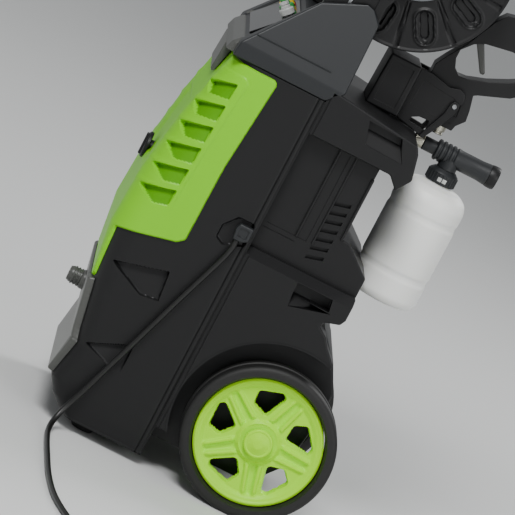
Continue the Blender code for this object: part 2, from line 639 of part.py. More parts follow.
def handle():
    """The pull-up handle: one bent tube with a soft grip on its crossbar."""
    bar = CASE_TOP + HANDLE_RISE
    foot = CASE_TOP + UPRIGHT_RISE - LEG_OVERLAP
    bend = 0.030
    centre_line = [(LEG_X, foot)]
    centre_line += arc((LEG_X - bend, bar - bend), bend, 0, 90, 5)
    centre_line += arc((-LEG_X + bend, bar - bend), bend, 90, 180, 5)
    centre_line.append((-LEG_X, foot))
    rings = []
    count = SMALL_SEGMENTS
    for i, (x, z) in enumerate(centre_line):
        before = Vector(centre_line[max(i - 1, 0)])
        after = Vector(centre_line[min(i + 1, len(centre_line) - 1)])
        direction = (after - before).normalized()
        across = Vector((direction.y, 0, -direction.x))
        angles = [math.tau * (k + 0.5) / count for k in range(count)]
        rings.append([Vector((x, LEG_Y, z)) + (across * math.cos(a) + Vector((0, 1, 0)) * math.sin(a)) * LEG_RADIUS
                      for a in angles])
    place("handle_tube", loft(rings), STEEL, (0, LEG_Y, foot))
    half = GRIP_LENGTH / 2
    grip = [(LEG_RADIUS + FIXED_GAP, -half), (GRIP_RADIUS - 0.002, -half), (GRIP_RADIUS, -half + 0.006),
            (GRIP_RADIUS, half - 0.006), (GRIP_RADIUS - 0.002, half), (LEG_RADIUS + FIXED_GAP, half)]
    place("handle_grip", turned(grip, (0, LEG_Y, bar), "X", SMALL_SEGMENTS), RUBBER, (0, LEG_Y, bar))


# ---------------------------------------------------------------- reel
def reel():
    half = REEL_WIDTH / 2
    inside = half - FLANGE_THICKNESS
    shaft_right = UPRIGHT_OUTSIDE + 0.003
    shaft_left = -(UPRIGHT_OUTSIDE + 0.004 + BUTTON_TRAVEL + 0.012)
    r, web = REEL_SHAFT_RADIUS, 0.004
    drum = [(0, shaft_left), (r, shaft_left), (r, -web), (DRUM_RADIUS - 0.004, -web), (DRUM_RADIUS - 0.004, -inside + 0.001),
            (DRUM_RADIUS, -inside + 0.001), (DRUM_RADIUS, inside - 0.001), (DRUM_RADIUS - 0.004, inside - 0.001),
            (DRUM_RADIUS - 0.004, web), (r, web), (r, shaft_right), (0, shaft_right)]
    place("reel_drum", turned(drum, REEL_CENTRE, "X", 24, closed=False), BLACK, REEL_CENTRE)
    for side, word in ((1, "right"), (-1, "left")):
        bore = r + FIXED_GAP
        flange = [(bore, inside), (REEL_RADIUS - 0.002, inside), (REEL_RADIUS, inside + 0.002), (REEL_RADIUS, half - 0.002),
                  (REEL_RADIUS - 0.004, half), (0.056, half), (0.052, half - 0.003), (0.030, half - 0.003),
                  (0.026, half), (bore, half)]
        flange = [(radius, side * x) for radius, x in flange]
        place(f"reel_flange_{word}", turned(flange, REEL_CENTRE), BLACK, REEL_CENTRE)
    start = DRUM_RADIUS + FIXED_GAP
    coil = [(start, -inside + 0.002), (HOSE_RADIUS, -inside + 0.002), (HOSE_RADIUS, inside - 0.002), (start, inside - 0.002)]
    place("hose_coil", turned(coil, REEL_CENTRE, "X", 24), RUBBER, REEL_CENTRE)

    arm_outer = shaft_left - 0.001
    arm_inner = arm_outer + CRANK_THICKNESS
    hub, tip = (REEL_CENTRE.y, REEL_CENTRE.z), (REEL_CENTRE.y, REEL_CENTRE.z + CRANK_REACH)
    arm = arc(hub, 0.016, -180, 0, 6) + arc(tip, 0.011, 0, 180, 6)
    crank = place("crank_arm", prism(arm, arm_outer, arm_inner), BLACK, REEL_CENTRE)
    combine(crank, "DIFFERENCE", rod(r + FIXED_GAP, arm_outer - 0.01, arm_inner + 0.01, REEL_CENTRE))
    knob_centre = Vector((arm_outer - FIXED_GAP, *tip))
    knob = [(0, 0), (CRANK_KNOB_RADIUS - 0.003, 0), (CRANK_KNOB_RADIUS, -0.006),
            (CRANK_KNOB_RADIUS, -CRANK_KNOB_LENGTH + 0.004), (CRANK_KNOB_RADIUS - 0.003, -CRANK_KNOB_LENGTH),
            (0, -CRANK_KNOB_LENGTH)]
    place("crank_knob", turned(knob, knob_centre, "X", SMALL_SEGMENTS, closed=False), BLACK, knob_centre)


# ---------------------------------------------------------------- spray gun and holder
def block_top(y):
    """Height of the rear block's sloping top."""
    return CASE_TOP - 0.015 * (y - SEAM_Y) / (0.0925 - SEAM_Y)


def gun_holder():
    """A hollow post behind the reel with two cheeks that the gun drops between."""
    top = CASE_TOP + 0.064
    seat = [(HOLDER_FRONT, block_top(HOLDER_FRONT) + FIXED_GAP), (HOLDER_BACK, block_top(HOLDER_BACK) + 0.006),
            (HOLDER_BACK + 0.017, CASE_TOP - 0.006), (HOLDER_BACK + 0.017, CASE_TOP + 0.003),
            (HOLDER_BACK, CASE_TOP + 0.003), (HOLDER_BACK, top), (HOLDER_FRONT + 0.002, top)]
    seat[1] = (HOLDER_BACK, block_top(HOLDER_FRONT) + FIXED_GAP)
    holder = place("gun_holder", prism(seat, -HOLDER_WIDTH / 2, HOLDER_WIDTH / 2), BLACK)
    inner = GUN_WIDTH / 2 + 2 * FREE_GAP
    foot = block_top(HOLDER_FRONT) + FIXED_GAP
    cheek = [(HOLDER_BACK - 0.010, foot), (0.104, foot - 0.011), (0.112, CASE_TOP + 0.003), (0.124, CASE_TOP + 0.030),
             (0.131, CASE_TOP + 0.048), (0.127, CASE_TOP + 0.057), (0.119, CASE_TOP + 0.060),
             (0.106, CASE_TOP + 0.056), (0.080, CASE_TOP + 0.062), (HOLDER_BACK - 0.010, top)]
    cheek[0] = (HOLDER_BACK - 0.010, foot + 0.001)
    window = [(0.079, CASE_TOP - 0.006), (0.103, CASE_TOP - 0.008), (0.103, CASE_TOP + 0.006), (0.088, CASE_TOP + 0.005),
              (0.079, CASE_TOP)]
    for side in (1, -1):
        low, high = sorted((side * inner, side * (inner + CHEEK_THICKNESS)))
        combine(holder, "UNION", prism(cheek, low, high))
    combine(holder, "DIFFERENCE", prism(window, -0.1, 0.1))
    hollow = block((-HOLDER_WIDTH / 2 + WALL, HOLDER_FRONT + WALL + 0.002, block_top(HOLDER_FRONT) - 0.02),
                   (HOLDER_WIDTH / 2 - WALL, HOLDER_BACK - WALL, top - WALL))
    return combine(holder, "DIFFERENCE", hollow)


def spray_gun():
    """The gun stands muzzle down, its closed handle pointing back and up."""
    base = CASE_TOP + 0.006
    body = [(0.070, base), (0.134, base), (0.136, base + 0.008), (0.145, base + 0.019), (0.143, base + 0.033),
            (0.138, base + 0.053), (0.143, base + 0.056), (0.181, base + 0.071), (0.207, base + 0.091),
            (0.216, base + 0.113), (0.2165, base + 0.150), (0.211, base + 0.176), (0.170, base + 0.173),
            (0.130, base + 0.164), (0.119, base + 0.150), (0.100, base + 0.108), (0.085, base + 0.084),
            (0.076, base + 0.068), (0.076, base + 0.057), (0.070, base + 0.050)]
    hand = [(0.096, base + 0.098), (0.096, base + 0.086), (0.101, base + 0.074), (0.109, base + 0.0675),
            (0.121, base + 0.0685), (0.146, base + 0.077), (0.171, base + 0.089), (0.194, base + 0.102),
            (0.202, base + 0.113), (0.198, base + 0.124), (0.156, base + 0.1255), (0.121, base + 0.119),
            (0.108, base + 0.112)]
    origin = (0, GUN_BARREL_Y, base)
    half = GUN_WIDTH / 2
    gun = place("gun_body", prism(body, -half, half), BLACK, origin)
    combine(gun, "DIFFERENCE", prism(hand, -0.1, 0.1))
    pivot = Vector((0, 0.112, base + 0.121))
    slot = [(0.104, base + 0.108), (0.126, base + 0.114), (0.126, base + 0.136), (0.104, base + 0.136)]
    combine(gun, "DIFFERENCE", prism(slot, -TRIGGER_WIDTH / 2 - FREE_GAP, TRIGGER_WIDTH / 2 + FREE_GAP))
    lever = [(0.108, base + 0.121), (0.112, base + 0.127), (0.118, base + 0.122), (0.139, base + 0.084),
             (0.138, base + 0.081), (0.133, base + 0.081), (0.112, base + 0.113)]
    place("gun_trigger", prism(lever, -TRIGGER_WIDTH / 2, TRIGGER_WIDTH / 2), GREEN, pivot)
    coupler = [(0.0055, -0.013), (0.009, -0.013), (0.010, -0.010), (0.010, -FIXED_GAP), (0.0055, -FIXED_GAP)]
    place("gun_coupler", turned(coupler, origin, "Z", SMALL_SEGMENTS), BRASS, origin)


# ---------------------------------------------------------------- foam cannon
def foam_cannon():
    neck_radius = 0.017
    shoulder = CANNON_Z - 0.039
    mouth = shoulder + 0.013
    low, wall = BOTTLE_BOTTOM, BOTTLE_WALL
    origin = (0, BOTTLE_Y, low)
    r = BOTTLE_RADIUS
    outside = [(0, low), (r - 0.008, low), (r, low + 0.010), (r, shoulder - 0.020), (r - 0.005, shoulder - 0.010),
               (r - 0.016, shoulder - 0.004), (neck_radius, shoulder - 0.001), (neck_radius, mouth)]
    inside = [(neck_radius - wall, mouth), (neck_radius - wall, shoulder - 0.003), (r - 0.017, shoulder - 0.006),
              (r - 0.0065, shoulder - 0.012), (r - wall, shoulder - 0.021), (r - wall, low + 0.010),
              (r - 0.008, low + wall), (0, low + wall)]
    place("foam_bottle", turned(outside + inside, (0, BOTTLE_Y, 0), "Z", 24, closed=False), BOTTLE, origin)
    cap_top = CANNON_Z - CANNON_RADIUS - 0.004
    bore = neck_radius + FREE_GAP / 2
    cap = [(0, mouth + 0.001), (bore, mouth + 0.001), (bore, shoulder + 0.001), (0.020, shoulder + 0.001), (0.020, cap_top),
           (0, cap_top)]
    tip = low + 0.018
    lid = place("foam_cap", turned(cap, (0, BOTTLE_Y, 0), "Z", 24, closed=False), GREY, (0, BOTTLE_Y, CANNON_Z))
    combine(lid, "UNION", rod(0.003, tip, mouth + 0.004, (0, BOTTLE_Y, 0), "Z", 12))
    axis = Vector((0, 0, CANNON_Z))
    c = CANNON_RADIUS
    tail = CANNON_REAR - NOZZLE_TIP_LENGTH
    tube_profile = [(0, CANNON_FRONT - 0.018), (0.009, CANNON_FRONT - 0.018), (0.009, CANNON_FRONT), (c, CANNON_FRONT),
                    (c, CANNON_FRONT + 0.028), (c - 0.001, tail), (0, tail)]
    cannon = place("foam_body", turned(tube_profile, axis, "Y", 24, closed=False), GREY, (0, BOTTLE_Y, CANNON_Z))
    combine(cannon, "UNION", rod(0.013, cap_top + FIXED_GAP, CANNON_Z, (0, BOTTLE_Y, 0), "Z"))
    start = tail + FIXED_GAP
    nozzle = [(0.004, start), (c + 0.0005, start), (c + 0.001, CANNON_REAR - 0.003), (c, CANNON_REAR), (0.006, CANNON_REAR)]
    place("foam_nozzle", turned(nozzle, axis, "Y", 24), BLACK, (0, start, CANNON_Z))
    front = CANNON_FRONT - 0.018 - FIXED_GAP
    p = PLUG_RADIUS
    plug = [(0, front), (p + 0.0025, front), (p + 0.0025, front - 0.012), (p - 0.001, front - 0.014), (p - 0.001, front - 0.020),
            (p, front - 0.022), (p, front - 0.036), (0, front - 0.036)]
    place("foam_plug", turned(plug, axis, "Y", SMALL_SEGMENTS, closed=False), BRASS, (0, front, CANNON_Z))


# ---------------------------------------------------------------- drive
def drive():
    """Pump below, motor above on the same upright shaft."""
    low = TRAY_TOP + FIXED_GAP
    half = PUMP_SIZE / 2
    plate_bottom = low + PUMP_HEIGHT
    chamber_top = plate_bottom + 0.040
    pump = place("pump_block", block((-half, DRIVE_Y - half, low), (half, DRIVE_Y + half, plate_bottom)), ALUMINIUM)
    axis = Vector((0, DRIVE_Y, 0))
    circle = 0.026
    for number in range(PISTONS):
        angle = math.tau * number / PISTONS
        centre = axis + Vector((circle * math.cos(angle), circle * math.sin(angle), 0))
        combine(pump, "DIFFERENCE", rod(PISTON_RADIUS + RUN_GAP, low + 0.030, plate_bottom + 0.01, centre, "Z", 12))
        place(f"piston_{number + 1}", rod(PISTON_RADIUS, low + 0.042, plate_bottom + 0.008, centre, "Z", 12), STEEL,
              (centre.x, centre.y, low + 0.042))
    swash_low = plate_bottom + 0.0095
    shaft = 0.006
    swash = loft([[axis + Vector((0.036 * math.cos(a), 0.036 * math.sin(a), z + (0.006 * math.cos(a) if k else 0)))
                   for a in [math.tau * i / 20 for i in range(20)]]
                  for k, z in enumerate((swash_low, swash_low + 0.012))])
    place("swash_plate", swash, STEEL, (0, DRIVE_Y, swash_low))
    base = chamber_top
    top = base + MOTOR_LENGTH
    r = MOTOR_RADIUS
    gap = FREE_GAP
    rotor_radius = 0.030
    can = [(shaft + gap, base), (r, base), (r, top), (shaft + gap, top), (shaft + gap, top - 0.006),
           (rotor_radius + gap, top - 0.006), (rotor_radius + gap, base + 0.006), (shaft + gap, base + 0.006)]
    motor = place("motor_housing", turned(can, axis, "Z", 24), COPPER)
    for side in (1, -1):
        window = block((side * 0.010 - 0.006, DRIVE_Y - 0.008, top - 0.02), (side * 0.010 + 0.006, DRIVE_Y + 0.008, top + 0.01))
        bmesh.ops.translate(window, verts=window.verts, vec=(side * 0.012, 0, 0))
        combine(motor, "DIFFERENCE", window)
    rotor = [(0, swash_low + 0.0136), (shaft, swash_low + 0.0136), (shaft, base + 0.012), (rotor_radius, base + 0.012),
             (rotor_radius, top - 0.012), (shaft, top - 0.012), (shaft, top + 0.026), (0, top + 0.026)]
    place("motor_rotor", turned(rotor, axis, "Z", SMALL_SEGMENTS, closed=False), STEEL, (0, DRIVE_Y, base))
    fan_low = top + 0.006
    hub = turned([(shaft + FIXED_GAP, fan_low), (0.014, fan_low), (0.014, fan_low + 0.016), (shaft + FIXED_GAP, fan_low + 0.016)],
                 axis, "Z", SMALL_SEGMENTS)
    fan = place("cooling_fan", hub, BLACK, (0, DRIVE_Y, fan_low))
    for blade in range(7):
        angle = math.tau * blade / 7
        turn = Matrix.Translation(axis) @ Matrix.Rotation(angle, 4, "Z")
        shape = block((0.012, -0.0015, fan_low + 0.001), (0.042, 0.0015, fan_low + 0.015))
        bmesh.ops.transform(shape, matrix=turn, verts=shape.verts)
        combine(fan, "UNION", shape)
    place("capacitor", rod(0.017, 0.300, 0.375, (0.075, DRIVE_Y + 0.060, 0), "Z"), GREY)
    corner = (0.060, DRIVE_Y + 0.050, low + 0.012)
    size = (0.030, 0.036, 0.052)
    place("pressure_switch", block(corner, [c + s for c, s in zip(corner, size)]), BLACK)


def water_lines():
    """The inlet at the lower front, and the pipes to and from the pump."""
    front = -0.2165
    inside = FRONT_LEVELS[4][1] + 0.030
    r = INLET_RADIUS
    fitting = [(0.006, inside), (r, inside), (r, front + 0.012), (0.011, front + 0.010), (0.011, front + 0.003),
               (0.009, front), (0.006, front)]
    place("water_inlet", turned(fitting, (0, 0, INLET_Z), "Y", 20), TRIM)
    pump_front = DRIVE_Y - PUMP_SIZE / 2
    pump_mid = TRAY_TOP + 0.045
    inlet_route = [(0, inside + 0.001, INLET_Z), (0, inside + 0.018, INLET_Z), (0, (inside + pump_front) / 2 + 0.006, 0.132),
                   (0, pump_front - 0.016, pump_mid), (0, pump_front - 0.001, pump_mid)]
    pipe("inlet_pipe", inlet_route, 0.012, RUBBER, 0.012)
    side = PUMP_SIZE / 2
    outlet_route = [(side + 0.0015, DRIVE_Y + 0.005, pump_mid), (side + 0.014, DRIVE_Y + 0.005, pump_mid),
                    (0.080, DRIVE_Y, pump_mid + 0.014), (0.088, DRIVE_Y - 0.008, 0.170), (0.089, DRIVE_Y - 0.012, 0.250),
                    (0.089, DRIVE_Y - 0.010, 0.350), (0.089, DRIVE_Y, 0.440), (0.090, DRIVE_Y, CASE_FRONT_TOP - 0.020)]
    pipe("outlet_pipe", outlet_route, 0.010, RUBBER, 0.020)


def switch():
    """The rotary on-off switch on the front, over its contact block."""
    face = FRONT_LEVELS[6][1] + 0.002 - FIXED_GAP - COVER_THICKNESS
    knob_back = face - 0.0032
    body_front = FRONT_LEVELS[6][1] + 0.012
    place("switch_body", block((-0.020, body_front, SWITCH_Z - 0.022), (0.020, body_front + 0.030, SWITCH_Z + 0.022)), BLACK)
    r = SWITCH_RADIUS
    stem = SWITCH_RADIUS * 0.5 - FREE_GAP
    profile = [(0, body_front - FREE_GAP), (stem, body_front - FREE_GAP), (stem, knob_back), (r, knob_back),
               (r, knob_back - 0.0025), (r - 0.002, knob_back - 0.004), (0, knob_back - 0.004)]
    knob = place("switch_knob", turned(profile, (0, 0, SWITCH_Z), "Y", 24, closed=False), BLACK, (0, face, SWITCH_Z))
    ridge = block((-0.0035, knob_back - 0.0065, SWITCH_Z - r + 0.003), (0.0035, knob_back - 0.002, SWITCH_Z + r - 0.003))
    return combine(knob, "UNION", ridge)


# ---------------------------------------------------------------- mains lead
def mains_lead():
    x = HALF_WIDTH + FIXED_GAP
    s = GLAND_SIZE / 2
    outline = [(GLAND_Y - s, GLAND_Z + s * 0.4), (GLAND_Y - s * 0.7, GLAND_Z + s), (GLAND_Y + s, GLAND_Z + s),
               (GLAND_Y + s, GLAND_Z - s * 0.6), (GLAND_Y + s * 0.3, GLAND_Z - s), (GLAND_Y - s * 0.8, GLAND_Z - s)]
    gland = place("cord_gland", prism(outline, x, x + 0.012), BLACK)
    combine(gland, "UNION", block((x - 0.008, GLAND_Y - 0.0045, GLAND_Z - 0.0045), (x + 0.004, GLAND_Y + 0.0045, GLAND_Z + 0.0045)))
    pipe("mains_lead", LEAD_ROUTE, LEAD_DIAMETER, LEAD, LEAD_DIAMETER * 2)
    middle = COIL_TURN_DIAMETER / 2
    reach = (LEAD_PITCH * (COIL_TURNS_ACROSS - 1) + LEAD_DIAMETER) / 2
    top = LEAD_PITCH * (COIL_TURNS_HIGH - 1) + LEAD_DIAMETER + FLOOR_GAP
    centre = (*COIL_CENTRE, 0)
    ring = [(middle - reach, FLOOR_GAP), (middle + reach, FLOOR_GAP), (middle + reach, top), (middle - reach, top)]
    place("lead_coil", turned(ring, centre, "Z", 24), LEAD, centre)
    end_of_lead = Vector((COIL_CENTRE[0] + middle - reach + LEAD_DIAMETER / 2, COIL_CENTRE[1], top))
    low = end_of_lead + Vector((-PLUG_WIDTH / 2, CORD_GAP, CORD_GAP))
    plug = place("mains_plug", block(low, low + Vector((PLUG_WIDTH, PLUG_LENGTH, PLUG_HEIGHT))), LEAD, low)
    return plug


front_shell()
front_cover()
front_bumper()
rear_shell()
base_tray()
feet()
wheels()
top_cover()
console_panel()
spray_nozzles()
uprights()
handle()
reel()
gun_holder()
spray_gun()
foam_cannon()
drive()
water_lines()
switch()
mains_lead()
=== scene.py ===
import math

import bmesh
import bpy
import numpy as np
from mathutils import Matrix, Vector


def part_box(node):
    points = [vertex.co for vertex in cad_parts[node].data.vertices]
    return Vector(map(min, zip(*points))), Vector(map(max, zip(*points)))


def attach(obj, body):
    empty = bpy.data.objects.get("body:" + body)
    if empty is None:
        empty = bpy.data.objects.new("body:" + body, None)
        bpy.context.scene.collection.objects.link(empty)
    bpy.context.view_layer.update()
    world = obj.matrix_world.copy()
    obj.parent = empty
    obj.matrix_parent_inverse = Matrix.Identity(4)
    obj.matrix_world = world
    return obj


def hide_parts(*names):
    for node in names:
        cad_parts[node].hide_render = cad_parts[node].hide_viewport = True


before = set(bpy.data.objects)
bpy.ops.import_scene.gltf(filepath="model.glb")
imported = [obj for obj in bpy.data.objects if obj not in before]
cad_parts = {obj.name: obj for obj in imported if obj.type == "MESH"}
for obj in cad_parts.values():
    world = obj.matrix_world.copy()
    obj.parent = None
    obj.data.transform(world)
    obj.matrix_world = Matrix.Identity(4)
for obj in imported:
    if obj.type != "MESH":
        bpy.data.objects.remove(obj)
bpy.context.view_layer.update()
print("stage: frame loaded")

mm = 0.001
gap = 0.5 * mm
halfWidth = 140 * mm
frontTop = 524 * mm
deckTop = 604 * mm
wheelCentre = Vector((0, 0.088, 0.100))
reelCentre = Vector((0, -0.008, 0.736))
cannonZ = 0.517
bottleY = 0.153
legX, legY = 0.096, -0.064


def smoothStep(low, high, x):
    t = np.clip((np.asarray(x, float) - low) / (high - low), 0, 1)
    return t * t * (3 - 2 * t)


# a hex colour as linear RGBA
def linear(hexColour):
    parts = [int(hexColour[i:i + 2], 16) / 255 for i in (1, 3, 5)]
    return [p / 12.92 if p <= 0.04045 else ((p + 0.055) / 1.055) ** 2.4 for p in parts] + [1.0]


def arc(centre, radius, startDeg, endDeg, steps):
    angles = np.radians(np.linspace(startDeg, endDeg, steps + 1))
    return [(centre[0] + radius * math.cos(a), centre[1] + radius * math.sin(a)) for a in angles]


# distance from each point to a polygon's edge, negative inside
def signedDistance(points, polygon):
    p = np.asarray(points, float)
    corners = np.asarray(polygon, float)
    best = np.full(len(p), 1e9)
    inside = np.zeros(len(p), bool)
    for a, b in zip(corners, np.roll(corners, -1, axis=0)):
        edge = b - a
        t = np.clip(((p - a) @ edge) / (edge @ edge), 0, 1)
        best = np.minimum(best, np.linalg.norm(p - a - t[:, None] * edge, axis=1))
        crosses = (a[1] > p[:, 1]) != (b[1] > p[:, 1])
        rise = edge[1] if abs(edge[1]) > 1e-12 else 1e-12
        inside ^= crosses & (p[:, 0] < a[0] + (p[:, 1] - a[1]) * edge[0] / rise)
    return np.where(inside, -best, best)


# the polygon moved inwards, whichever way round it runs
def inset(polygon, distance):
    pts = [Vector(p) for p in polygon]
    area = sum(a.x * b.y - b.x * a.y for a, b in zip(pts, pts[1:] + pts[:1]))
    side = distance if area > 0 else -distance
    moved = []
    for i, here in enumerate(pts):
        before = (here - pts[i - 1]).normalized()
        after = (pts[(i + 1) % len(pts)] - here).normalized()
        normal = Vector((-before.y - after.y, before.x + after.x)).normalized()
        share = max(0.35, normal.dot(Vector((-before.y, before.x))))
        moved.append(tuple(here + normal * (side / share)))
    return moved


# signed distance to the polygon with its outward corners rounded
def roundedDistance(points, polygon, radius):
    return signedDistance(points, inset(polygon, radius)) - radius


# adds a node with its settings, its fixed input values and its links
def addNode(tree, kind, values=None, links=None, **settings):
    node = tree.nodes.new(kind)
    for name, value in settings.items():
        setattr(node, name, value)
    for name, value in (values or {}).items():
        node.inputs[name].default_value = value
    for name, socket in (links or {}).items():
        tree.links.new(socket, node.inputs[name])
    return node


grainDepth = 0.4 * mm


# a base colour that varies a little, with a fine moulded grain; scales are repeats per metre
def material(name, colour, roughness, metallic=0.0, grain=0.0, grainScale=1400, mottle=0.06, mottleScale=14,
             shine=0.5):
    mat = bpy.data.materials.new(name)
    mat.use_nodes = True
    tree = mat.node_tree
    shader = tree.nodes["Principled BSDF"]
    for socket, value in (("Roughness", roughness), ("Metallic", metallic), ("Specular IOR Level", shine)):
        shader.inputs[socket].default_value = value
    place = addNode(tree, "ShaderNodeTexCoord").outputs["Object"]
    cloud = addNode(tree, "ShaderNodeTexNoise", {"Scale": mottleScale, "Detail": 5}, {"Vector": place})
    base = linear(colour)
    darker = [c * (1 - mottle) for c in base[:3]] + [1]
    lighter = [min(1, c * (1 + mottle)) for c in base[:3]] + [1]
    blend = addNode(tree, "ShaderNodeMix", {"A": darker, "B": lighter}, {"Factor": cloud.outputs["Fac"]},
                    data_type="RGBA")
    tree.links.new(blend.outputs["Result"], shader.inputs["Base Color"])
    if grain:
        speck = addNode(tree, "ShaderNodeTexNoise", {"Scale": grainScale, "Detail": 3}, {"Vector": place})
        bump = addNode(tree, "ShaderNodeBump", {"Strength": grain, "Distance": grainDepth},
                       {"Height": speck.outputs["Fac"]})
        tree.links.new(bump.outputs["Normal"], shader.inputs["Normal"])
    mat.diffuse_color = base
    return mat


# moulded with a fine eroded texture: matt, with soft broad highlights
blackPlastic = material("black_polypropylene", "#111112", 0.44, grain=0.22, shine=0.36)
greyPlastic = material("dark_grey_abs", "#212325", 0.42, grain=0.16, shine=0.42)
# the same texture, dyed grey, a little smoother
trimPlastic = material("charcoal_trim", "#4a4b48", 0.36, grain=0.12)
# polished tool: a nearly black mirror
glossPlastic = material("gloss_black_abs", "#060708", 0.16, mottle=0.02, shine=0.3)
hubPlastic = material("hub_grey", "#6f7275", 0.35, grain=0.1)
# glossy pellets, moulded smooth: even colour, weak sheen
greenPlastic = material("green_polypropylene", "#7acc00", 0.42, grain=0.06, mottle=0.02, shine=0.22)
# a darker copy of the cover green for the louvre pocket floors: painted shade, standing for the shade inside
# the pockets
paintedShadeGreen = material("green_polypropylene_painted_louvre_shade", "#4f9400", 0.5, grain=0.06, mottle=0.02, shine=0.12)
# dyed brighter than the cover
limePlastic = material("lime_polypropylene", "#a8f000", 0.42, grain=0.05, mottle=0.02, shine=0.22)
# moulded rubber: dull and dusty, coarser than real so that it shows
tyreRubber = material("tyre_rubber", "#141413", 0.62, grain=0.5, grainScale=700, mottle=0.18, mottleScale=40)
softRubber = material("soft_rubber", "#1b1b1b", 0.7, grain=0.3, grainScale=900)
# zinc plated: bright, slightly blurred reflections
zincSteel = material("zinc_steel", "#b4b6b8", 0.30, metallic=1.0, grain=0.03, grainScale=300)
# die cast: pale and sandy
castAluminium = material("cast_aluminium", "#a9abad", 0.48, metallic=1.0, grain=0.35, grainScale=500)
# turned and plated: warm, sharp reflections
nickelBrass = material("nickel_brass", "#b9b6a8", 0.28, metallic=1.0)
# sprayed steel can: grey with a metal undertone
motorPaint = material("motor_can", "#6c7175", 0.42, metallic=0.6, grain=0.1)
# extruded jackets: smooth, faintly waxy
leadPlastic = material("lead_pvc", "#131312", 0.36, grain=0.05)
hoseRubber = material("hose_rubber", "#202020", 0.5, grain=0.15)
# small glossy dyed mouldings
redPlastic = material("red_nozzle", "#b3282b", 0.4)
yellowPlastic = material("yellow_nozzle", "#d9b92c", 0.4)
leafPlastic = material("green_nozzle", "#2f8a3f", 0.4)
silverPlastic = material("silver_nozzle", "#b9bbb8", 0.32, metallic=0.3)
# blown bottle wall: milky, lets a little light through
bottlePlastic = material("white_polyethylene", "#f2f3ef", 0.42, grain=0.05, mottle=0.015)
bottleShader = bottlePlastic.node_tree.nodes["Principled BSDF"]
bottleShader.inputs["Subsurface Weight"].default_value = 0.35
bottleShader.inputs["Subsurface Radius"].default_value = (0.006, 0.006, 0.005)
print("stage: materials")


# an object from a bmesh in the row frame, smooth except at its sharp edges
def toObject(name, bm, mat, sharp=32):
    mesh = bpy.data.meshes.new(name)
    bm.to_mesh(mesh)
    bm.free()
    mesh.shade_smooth()
    mesh.set_sharp_from_angle(angle=math.radians(sharp))
    mesh.materials.append(mat)
    obj = bpy.data.objects.new(name, mesh)
    bpy.context.scene.collection.objects.link(obj)
    return obj


# a solid through rings that have the same number of points
def loft(rings, closed=True):
    bm = bmesh.new()
    loops = [[bm.verts.new(p) for p in ring] for ring in rings]
    count = len(loops[0])
    for lower, upper in zip(loops, loops[1:]):
        for i in range(count):
            bm.faces.new((lower[i], lower[(i + 1) % count], upper[(i + 1) % count], upper[i]))
    if closed:
        bm.faces.new(loops[0])
        bm.faces.new(loops[-1])
    bmesh.ops.recalc_face_normals(bm, faces=bm.faces)
    return bm


# rounds every edge sharper than an angle
def bevelled(bm, width, segments=3, angle=28):
    if width > 0:
        edges = [e for e in bm.edges if len(e.link_faces) == 2 and e.calc_face_angle(0) > math.radians(angle)]
        bmesh.ops.bevel(bm, geom=edges, offset=width, segments=segments, profile=0.5, affect="EDGES",
                        clamp_overlap=False)
        bmesh.ops.recalc_face_normals(bm, faces=bm.faces)
    return bm


# a (y, z) outline run along X, with rounded edges
def slab(outline, low, high, width=0.0, segments=3):
    bm = loft([[(x, y, z) for y, z in outline] for x in (low, high)])
    return bevelled(bm, width, segments)


def block(low, high, width=0.0, segments=3):
    outline = [(low[1], low[2]), (high[1], low[2]), (high[1], high[2]), (low[1], high[2])]
    return slab(outline, low[0], high[0], width, segments)


# the convex solid around some points, with rounded edges
def hull(points, width=0.0, segments=3):
    bm = bmesh.new()
    for p in points:
        bm.verts.new(p)
    found = bmesh.ops.convex_hull(bm, input=bm.verts)
    unused = [v for v in found["geom_interior"] if isinstance(v, bmesh.types.BMVert)]
    bmesh.ops.delete(bm, geom=unused, context="VERTS")
    bmesh.ops.dissolve_limit(bm, angle_limit=math.radians(1.5), verts=bm.verts, edges=bm.edges)
    bmesh.ops.recalc_face_normals(bm, faces=bm.faces)
    return bevelled(bm, width, segments, angle=12)


# a solid of revolution; the profile holds (radius, distance along the axis)
def turned(profile, centre, axis="X", segments=96, closed=False):
    if isinstance(axis, str):
        axis = Vector([float(axis == letter) for letter in "XYZ"])
    along = axis.normalized()
    side = along.orthogonal().normalized()
    up = along.cross(side)
    bm = bmesh.new()
    rings = []
    for radius, offset in profile:
        middle = Vector(centre) + along * offset
        if radius < 1e-9:
            rings.append([bm.verts.new(middle)])
            continue
        turns = [math.tau * i / segments for i in range(segments)]
        rings.append([bm.verts.new(middle + (side * math.cos(a) + up * math.sin(a)) * radius) for a in turns])
    pairs = list(zip(rings, rings[1:])) + ([(rings[-1], rings[0])] if closed else [])
    for first, second in pairs:
        for i in range(segments):
            j = (i + 1) % segments
            corners = [first[i % len(first)], first[j % len(first)], second[j % len(second)],
                       second[i % len(second)]]
            corners = list(dict.fromkeys(corners))
            if len(corners) > 2:
                bm.faces.new(corners)
    bmesh.ops.recalc_face_normals(bm, faces=bm.faces)
    return bm


def rod(radius, low, high, centre, axis="X", segments=32, edge=0.0):
    profile = [(0, low), (radius - edge, low)]
    if edge:
        profile += [(radius, low + edge), (radius, high - edge)]
    else:
        profile += [(radius, high)]
    return turned(profile + [(radius - edge, high), (0, high)][(0 if edge else 1):], centre, axis, segments)


# an open profile with its inner corners rounded
def rounded(profile, radius, steps=4):
    pts = [Vector(p) for p in profile]
    out = [tuple(pts[0])]
    for a, b, c in zip(pts, pts[1:], pts[2:]):
        reach = min(radius, (b - a).length * 0.45, (c - b).length * 0.45)
        p, q = b + (a - b).normalized() * reach, b + (c - b).normalized() * reach
        for step in range(steps + 1):
            t = step / steps
            out.append(tuple(p.lerp(b, t).lerp(b.lerp(q, t), t)))
    out.append(tuple(pts[-1]))
    return out


